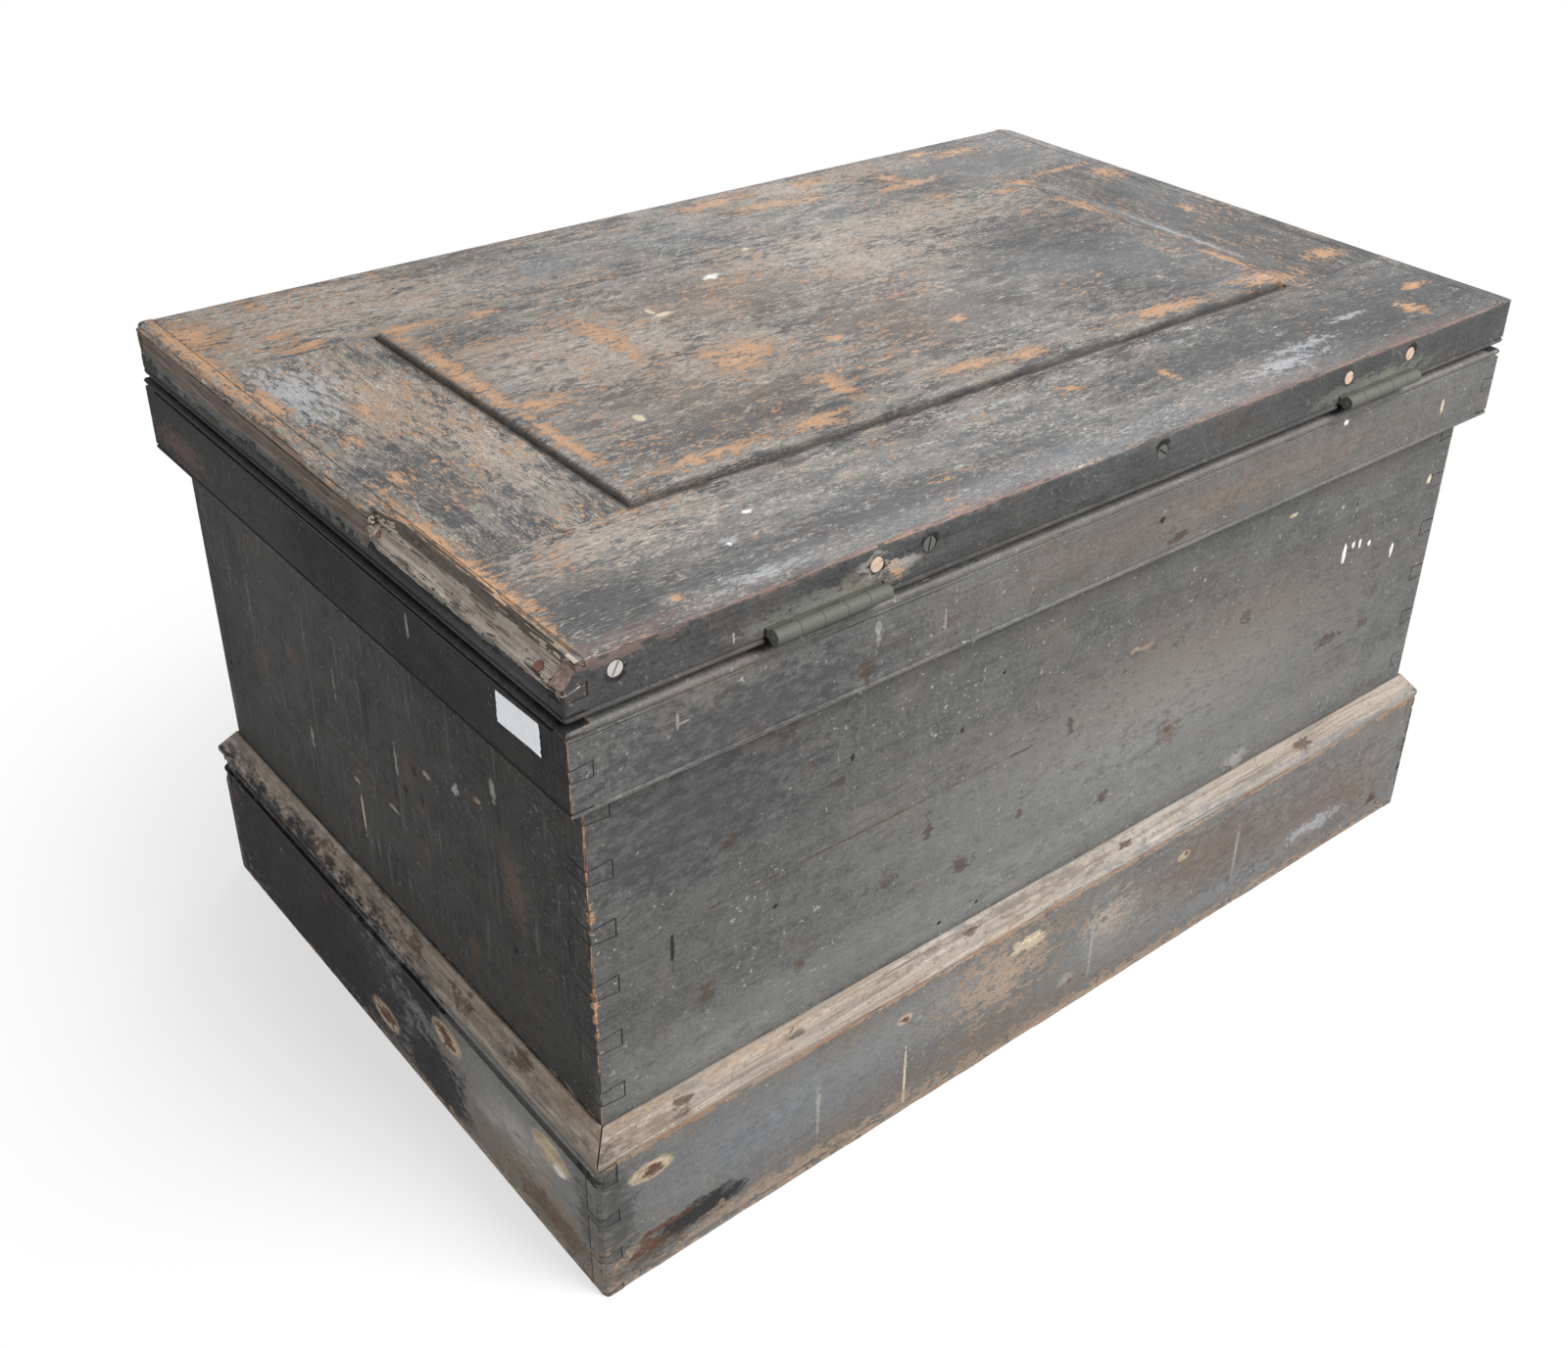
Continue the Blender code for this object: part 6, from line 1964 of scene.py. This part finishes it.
# The split's wall is given very dark wood: painted shade on that wall.
SHADED_SPLIT_WALL = BareWood("shaded_split_wall", early=(0.105, 0.078, 0.062), late=(0.035, 0.026, 0.021), grime=0.7,
                      arris=0.0)
SEAM_DIRT = BareWood("seam_dirt", early=(0.022, 0.019, 0.016), late=(0.01, 0.009, 0.008), grime=0.2,
                     arris=0.0)
PINE = BareWood("bare_pine", early=(0.42, 0.28, 0.16), late=(0.28, 0.16, 0.08), grime=0.2)
IRON = OldMetal("painted_iron", clean=(0.3, 0.3, 0.29), stained=(0.11, 0.115, 0.11), cover=0.9)
HINGE_IRON = OldMetal("hinge_iron", clean=(0.32, 0.31, 0.27), stained=(0.08, 0.081, 0.069), cover=0.8)
STEEL = OldMetal("screw_steel", clean=(0.8, 0.76, 0.7), cover=0.25)
CREAM_SCREW = OldMetal("cream_screw", clean=(0.6, 0.5, 0.4), stained=(0.48, 0.36, 0.28), cover=0.6)
DARK_SCREW = OldMetal("dark_screw", clean=(0.25, 0.24, 0.23), stained=(0.085, 0.082, 0.078), cover=0.9)
RUST = OldMetal("rusty_iron", clean=(0.2, 0.1, 0.07), stained=(0.135, 0.06, 0.042), cover=1.0)
BRASS = OldMetal("old_brass", clean=(0.6, 0.44, 0.2), stained=(0.16, 0.11, 0.05), cover=0.5)
WHITE_DAB = OldMetal("white_paint", clean=(0.72, 0.7, 0.64), stained=(0.62, 0.6, 0.54), cover=1.0)
TAPE_PAPER = Paper("tape_paper")

FOUR_SIDES = (("front", Lie.FRONT), ("back", Lie.BACK), ("left", Lie.LEFT), ("right", Lie.RIGHT))
LID_CORNERS = ((1, 1, 0.0035), (1, -1, 0.012), (-1, -1, 0.015), (-1, 1, 0.005))
PLINTH_CORNERS = ((1, 1, 0.006), (1, -1, 0.009), (-1, -1, 0.006), (-1, 1, 0.004))


def corners_of(side: str, corners: tuple[tuple[int, int, float], ...]) -> tuple[tuple[int, int, float], ...]:
    """Picks the corners that a side board reaches: a long board's two, or an end board's two."""
    axis, sign = {"front": (1, -1), "back": (1, 1), "left": (0, -1), "right": (0, 1)}[side]
    return tuple(corner for corner in corners if corner[axis] == sign)


@dataclass
class Case:
    """The case: walls, bottom, plinth, sill and band."""

    wall: float = 0.0012  # how wide its walls' arrises are rounded
    plinth: float = 0.0016  # how wide the plinth's are

    def build(self) -> list[Object]:
        """Builds its boards.

        Returns:
            The new pieces.
        """
        boards: list[Timber] = []
        # The walls' and the band's end paints are darker copies, partly painted shade; the plinth's end paint
        # differs only in gloss.
        paints, trims = (BODY_PAINT, END_PAINT_WITH_SHADE), (BAND_PAINT, END_BAND_PAINT_WITH_SHADE)
        bases = (BASE_PAINT, BASE_END_PAINT)
        for side, lie in FOUR_SIDES:
            end = side in ("left", "right")
            boards += [
                Timber(f"case_{side}", lie, "case", "painted_wood", paints[end], arris=self.wall, step=0.008,
                       wear=0.0006, flank=paints[not end]),
                Timber(f"band_{side}", lie, "case", "painted_wood", trims[end], step=0.008,
                       flank=trims[not end]),
                Timber(f"base_{side}", lie, "case", "painted_wood", bases[end], arris=self.plinth,
                       wear=0.001, corners=corners_of(side, PLINTH_CORNERS),
                       breaks=self.plinth_breaks(side)),
                Timber(f"sill_{side}", lie, "case", "sill_wood", SILL_WOOD, wear=0.0007, step=0.007)]
        boards += [Timber(f"bottom_board_{i}", Lie.FLOOR, "case", "bare_pine", PINE, step=0.03)
                   for i in range(1, 5)]
        return [board.build() for board in boards]

    def plinth_breaks(self, side: str) -> tuple[Break, ...]:
        """Says where a plinth board's foot is ragged.

        Args:
            side: The board's side.

        Returns:
            The ragged parts.
        """
        fine = (0.006, 0.003, 0.004)
        parts = {"back": (Break((-481, 290, -1), (481, 330, 9), 0.0016, fine, 140.0),),
                 "right": (Break((460, -315, -1), (490, 315, 8), 0.0014, fine, 140.0),
                           Break((455, -330, 104), (490, -290, 140), 0.003, (0.004, 0.005, 0.004), 60.0)),
                 "front": (Break((446, -330, 104), (490, -290, 140), 0.003, (0.004, 0.005, 0.004), 60.0),)}
        return parts.get(side, ())


@dataclass
class Lid:
    """The lid: skirt, rails, stiles and raised panel."""

    skirt: float = 0.0025  # how wide the skirt's upper arris is rounded
    split_from: float = 81.0  # where the split in the right skirt begins, in millimetres along Y
    split_floor: float = 536.5  # the height of its floor, in millimetres

    def build(self) -> list[Object]:
        """Builds its boards.

        Returns:
            The new pieces.
        """
        boards: list[Timber] = []
        # The left skirt takes the darker end skirt paint, partly painted shade.
        paints = (SKIRT_PAINT, END_SKIRT_PAINT_WITH_SHADE)
        for side, lie in (FOUR_SIDES[0], FOUR_SIDES[2]):
            boards.append(Timber(f"lid_skirt_{side}", lie, "lid", "painted_wood", paints[side == "left"],
                                 top=self.skirt, step=0.006, wear=0.0007, upper=SKIRT_TOP,
                                 corners=corners_of(side, LID_CORNERS), flank=paints[side != "left"]))
        boards += [self.torn_skirt(), self.split_skirt()]
        for node, lie, look in (("rail_front", Lie.RAIL, RAIL_TOP), ("rail_back", Lie.RAIL, RAIL_TOP),
                                ("stile_left", Lie.STILE, STILE_TOP), ("stile_right", Lie.STILE, STILE_TOP)):
            boards.append(Timber(f"lid_{node}", lie, "lid", "lid_wood", look, arris=0.0002, joint=0.0001,
                                 wear=0.0001))
        boards.append(Timber("lid_panel", Lie.RAIL, "lid", "lid_wood", PANEL_TOP, arris=0.0004))
        return [board.build() for board in boards]

    def torn_skirt(self) -> SplitSkirt:
        """Describes the back skirt, whose end is torn where the split runs out.

        Returns:
            The skirt.
        """
        torn = Break((469, 296, 522), (490, 330, 556), 0.0016, (0.002, 0.0016, 0.0016), 300.0)
        # Its end faces take the darker end skirt paint, partly painted shade.
        return SplitSkirt("lid_skirt_back", Lie.BACK, "lid", "painted_wood", SKIRT_PAINT, top=self.skirt,
                          step=0.006, wear=0.0007, upper=SKIRT_TOP, breaks=(torn,), flank=END_SKIRT_PAINT_WITH_SHADE,
                          corners=corners_of("back", LID_CORNERS), split=TORN_WOOD, wall=SHADED_SPLIT_WALL,
                          start=(self.split_from - 6) * MM, floor=self.split_floor * MM)

    def split_skirt(self) -> SplitSkirt:
        """Describes the right skirt: bare and furrowed along the top, and split at its back half.

        Returns:
            The skirt.
        """
        # The right skirt's paint is the darker end skirt paint, partly painted shade, bare along its top.
        paint = replace(END_SKIRT_PAINT_WITH_SHADE, bare_above=0.5245)
        breaks = (Break((477, -330, 519), (490, 314, 556), 0.0012, (0.005, 0.0018, 0.0025), 520.0),
                  Break((466, self.split_from - 10, 520), (490, 314, 556), 0.0019, (0.0024, 0.0013, 0.0012),
                        420.0))
        return SplitSkirt("lid_skirt_right", Lie.RIGHT, "lid", "painted_wood", paint, top=0.006, step=0.006,
                          wear=0.0012, upper=SKIRT_TOP, corners=corners_of("right", LID_CORNERS),
                          breaks=breaks, flank=SKIRT_PAINT, split=SPLIT_WOOD, wall=SHADED_SPLIT_WALL,
                          start=(self.split_from - 6) * MM, floor=self.split_floor * MM)


@dataclass
class Tills:
    """The two sliding tills and their runners."""

    arris: float = 0.0008  # how wide their arrises are rounded

    def build(self) -> list[Object]:
        """Builds their boards.

        Returns:
            The new pieces.
        """
        boards = [Timber(f"till_runner_{place}_{end}", Lie[end.upper()], "case", "bare_pine", PINE,
                         step=0.03)
                  for place in ("upper", "lower") for end in ("left", "right")]
        for till in ("till_upper", "till_lower"):
            boards += [Timber(f"{till}_{side}", lie, till, "bare_pine", PINE, step=0.02, arris=self.arris,
                              wear=0.0002)
                       for side, lie in FOUR_SIDES]
            boards.append(Timber(f"{till}_bottom", Lie.TRAY, till, "bare_pine", PINE, step=0.03))
        return [board.build() for board in boards]


@dataclass
class Metalwork:
    """The hinges, the lock and everything that is screwed, nailed or stuck on."""

    nail: float = 0.0027  # the radius of a plinth nail's head
    sill_nail: float = 0.0021  # the radius of a sill nail's head
    small: float = 0.004  # the radius of the fittings' screw heads

    def build(self) -> list[Object]:
        """Builds the fittings, the fasteners, the dabs of paint and the tape.

        Returns:
            The new pieces.
        """
        pieces = [*self.fittings(), *self.skirt_screws(), *self.fitting_screws(), *self.nails(),
                  *self.dabs()]
        return [piece.build() for piece in (*pieces, Tape(TAPE_PAPER))]

    def fittings(self) -> list[Fitting]:
        """Describes the hinges and the lock.

        Returns:
            The fittings.
        """
        made = []
        for side in ("left", "right"):
            made += [Fitting(f"hinge_{side}_case_leaf", "case", "dark_iron", HINGE_IRON),
                     Fitting(f"hinge_{side}_lid_leaf", "lid", "dark_iron", HINGE_IRON),
                     Fitting(f"hinge_{side}_pin", "case", "dark_iron", IRON, 0.0002)]
        return made + [Fitting("lock_case", "case", "dark_iron", IRON),
                       Fitting("lock_bolt", "lock_bolt", "brass", BRASS, 0.0003),
                       Fitting("link_plate", "lid", "dark_iron", IRON),
                       Fitting("escutcheon", "case", "brass", BRASS, 0.0003)]

    def skirt_screws(self) -> list[Fastener]:
        """Describes the six screws through the back skirt, and the four guessed ones in front.

        Returns:
            The screws.
        """
        looks = {0.4467: (STEEL, 62), 0.2476: (CREAM_SCREW, 20), 0.202: (DARK_SCREW, 80),
                 -0.0268: (DARK_SCREW, -35), -0.251: (CREAM_SCREW, 10), -0.334: (CREAM_SCREW, 50)}
        made = []
        for i in range(1, 7):
            node = f"lid_skirt_screw_{i}"
            low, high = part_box(node)
            x, _, z = (low + high) / 2
            finish, turn = looks[min(looks, key=lambda seen: abs(x - seen))]
            made.append(Screw(f"skirt_screw_{i}", "lid", Vector((x, high.y, z)), (0, 1, 0),
                              (high.x - low.x) / 2, finish, turn, 5.0, node))
        for i, x in enumerate((-446.8, -223.4, 223.4, 446.8)):
            made.append(Screw(f"front_screw_{i}", "lid", from_chest(x, -315.9, 531), (0, -1, 0), 0.0056,
                              DARK_SCREW, i * 37, 3.0))
        return made

    def fitting_screws(self) -> list[Fastener]:
        """Describes the screws of the hinges and the lock, and the escutcheon's pins.

        Returns:
            The screws and the pins.
        """
        made = []
        up, down = (0, 0, 1), (0, 0, -1)
        for side in (-1, 1):
            for share in (-0.72, 0.0, 0.72):
                x = side * 290 + share * 47
                for body, z, out, turn in (("case", 515.35, up, 7), ("lid", 515.75, down, 11)):
                    made.append(Screw(f"{body}_leaf_screw_{x:.0f}", body, from_chest(x, 289.5, z), out,
                                      self.small, DARK_SCREW, x * turn, 3.8))
            for name, body, x, y, z, out, turn in (
                    ("selvedge", "case", 44.5, -285.25, 518.65, up, 30 * side),
                    ("link", "lid", 32.7, -283.25, 519.05, down, 20 + side)):
                made.append(Screw(f"{name}_screw_{side}", body, from_chest(side * x, y, z), out, self.small,
                                  DARK_SCREW, turn, 3.0))
        low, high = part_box("escutcheon")
        x, _, z = (low + high) / 2
        for share in (-1, 1):
            place = Vector((x, low.y - 0.0002, z + share * 0.0152))
            made.append(Nail(f"escutcheon_pin_{share}", "case", place, (0, -1, 0), 0.0011, BRASS, 0, 5.0))
        return made

    def nails(self) -> list[Fastener]:
        """Describes the nails of the plinth, the sill and the split skirt.

        Returns:
            The nails.
        """
        made = []
        for sign, side in ((1, "back"), (-1, "front")):
            for x, z in ((-0.929, 0.12), (-0.288, 0.78), (0.006, 0.25), (0.405, 0.78)):
                place = from_chest(x * PLINTH[0] * sign, sign * (PLINTH[1] - 0.1), z * PLINTH[2])
                made.append(Nail(f"plinth_nail_{side}_{x}", "case", place, (0, sign, 0), self.nail, RUST))
            for x in (-0.62, 0.12, 0.962):
                place = from_chest(x * WALLS[0], sign * (WALLS[1] + 8.2), SILL_MIDDLE)
                made.append(Nail(f"sill_nail_{side}_{x}", "case", place, (0, sign * 13.5, 17.5),
                                 self.sill_nail, RUST))
        for sign, side in ((1, "right"), (-1, "left")):
            for y, z in ((-0.62, 0.7), (-0.053, 0.435), (0.3, 0.626)):
                place = from_chest(sign * (PLINTH[0] - 0.3), y * PLINTH[1], z * PLINTH[2])
                made.append(Nail(f"plinth_nail_{side}_{y}", "case", place, (sign, 0, 0), self.nail, RUST))
            for y in (-0.765, 0.017, -0.527):
                place = from_chest(sign * (WALLS[0] + 8.2), y * WALLS[1], SILL_MIDDLE)
                made.append(Nail(f"sill_nail_{side}_{y}", "case", place, (sign * 13.5, 0, 17.5),
                                 self.sill_nail, RUST))
        for i, y in enumerate((86.5, 285.0)):
            made.append(Nail(f"split_nail_{i}", "lid", from_chest(479.2, y, 532.2), (0.6, 0.1, 0.75), 0.0034,
                             RUST, 0, 2.0))
        return made

    def dabs(self) -> list[Dab]:
        """Describes the dabs of white paint at the far end of the back wall.

        Returns:
            The dabs.
        """
        spots = ((-324, 339, 3.0, 10.5), (-336, 343.5, 2.2, 3.4), (-346, 341, 2.0, 5.2),
                 (-361, 337, 2.4, 3.0), (-401, 317, 2.2, 6.5))
        return [Dab(f"white_dab_{i}", (x, WALLS[1], z), (rx * MM, rz * MM), WHITE_DAB)
                for i, (x, z, rx, rz) in enumerate(spots)]


def main() -> None:
    """Builds the studio and every sub-assembly of the chest in order."""
    logging.basicConfig(level=logging.INFO, format="%(name)s: %(message)s")
    Studio().build()
    log.info("studio ready")
    for part in (Case(), Lid(), Tills(), Metalwork()):
        for piece in part.build():
            log.info("%s: %s, %d faces", type(part).__name__, piece.name, len(piece.data.polygons))


if __name__ == "__main__":
    main()
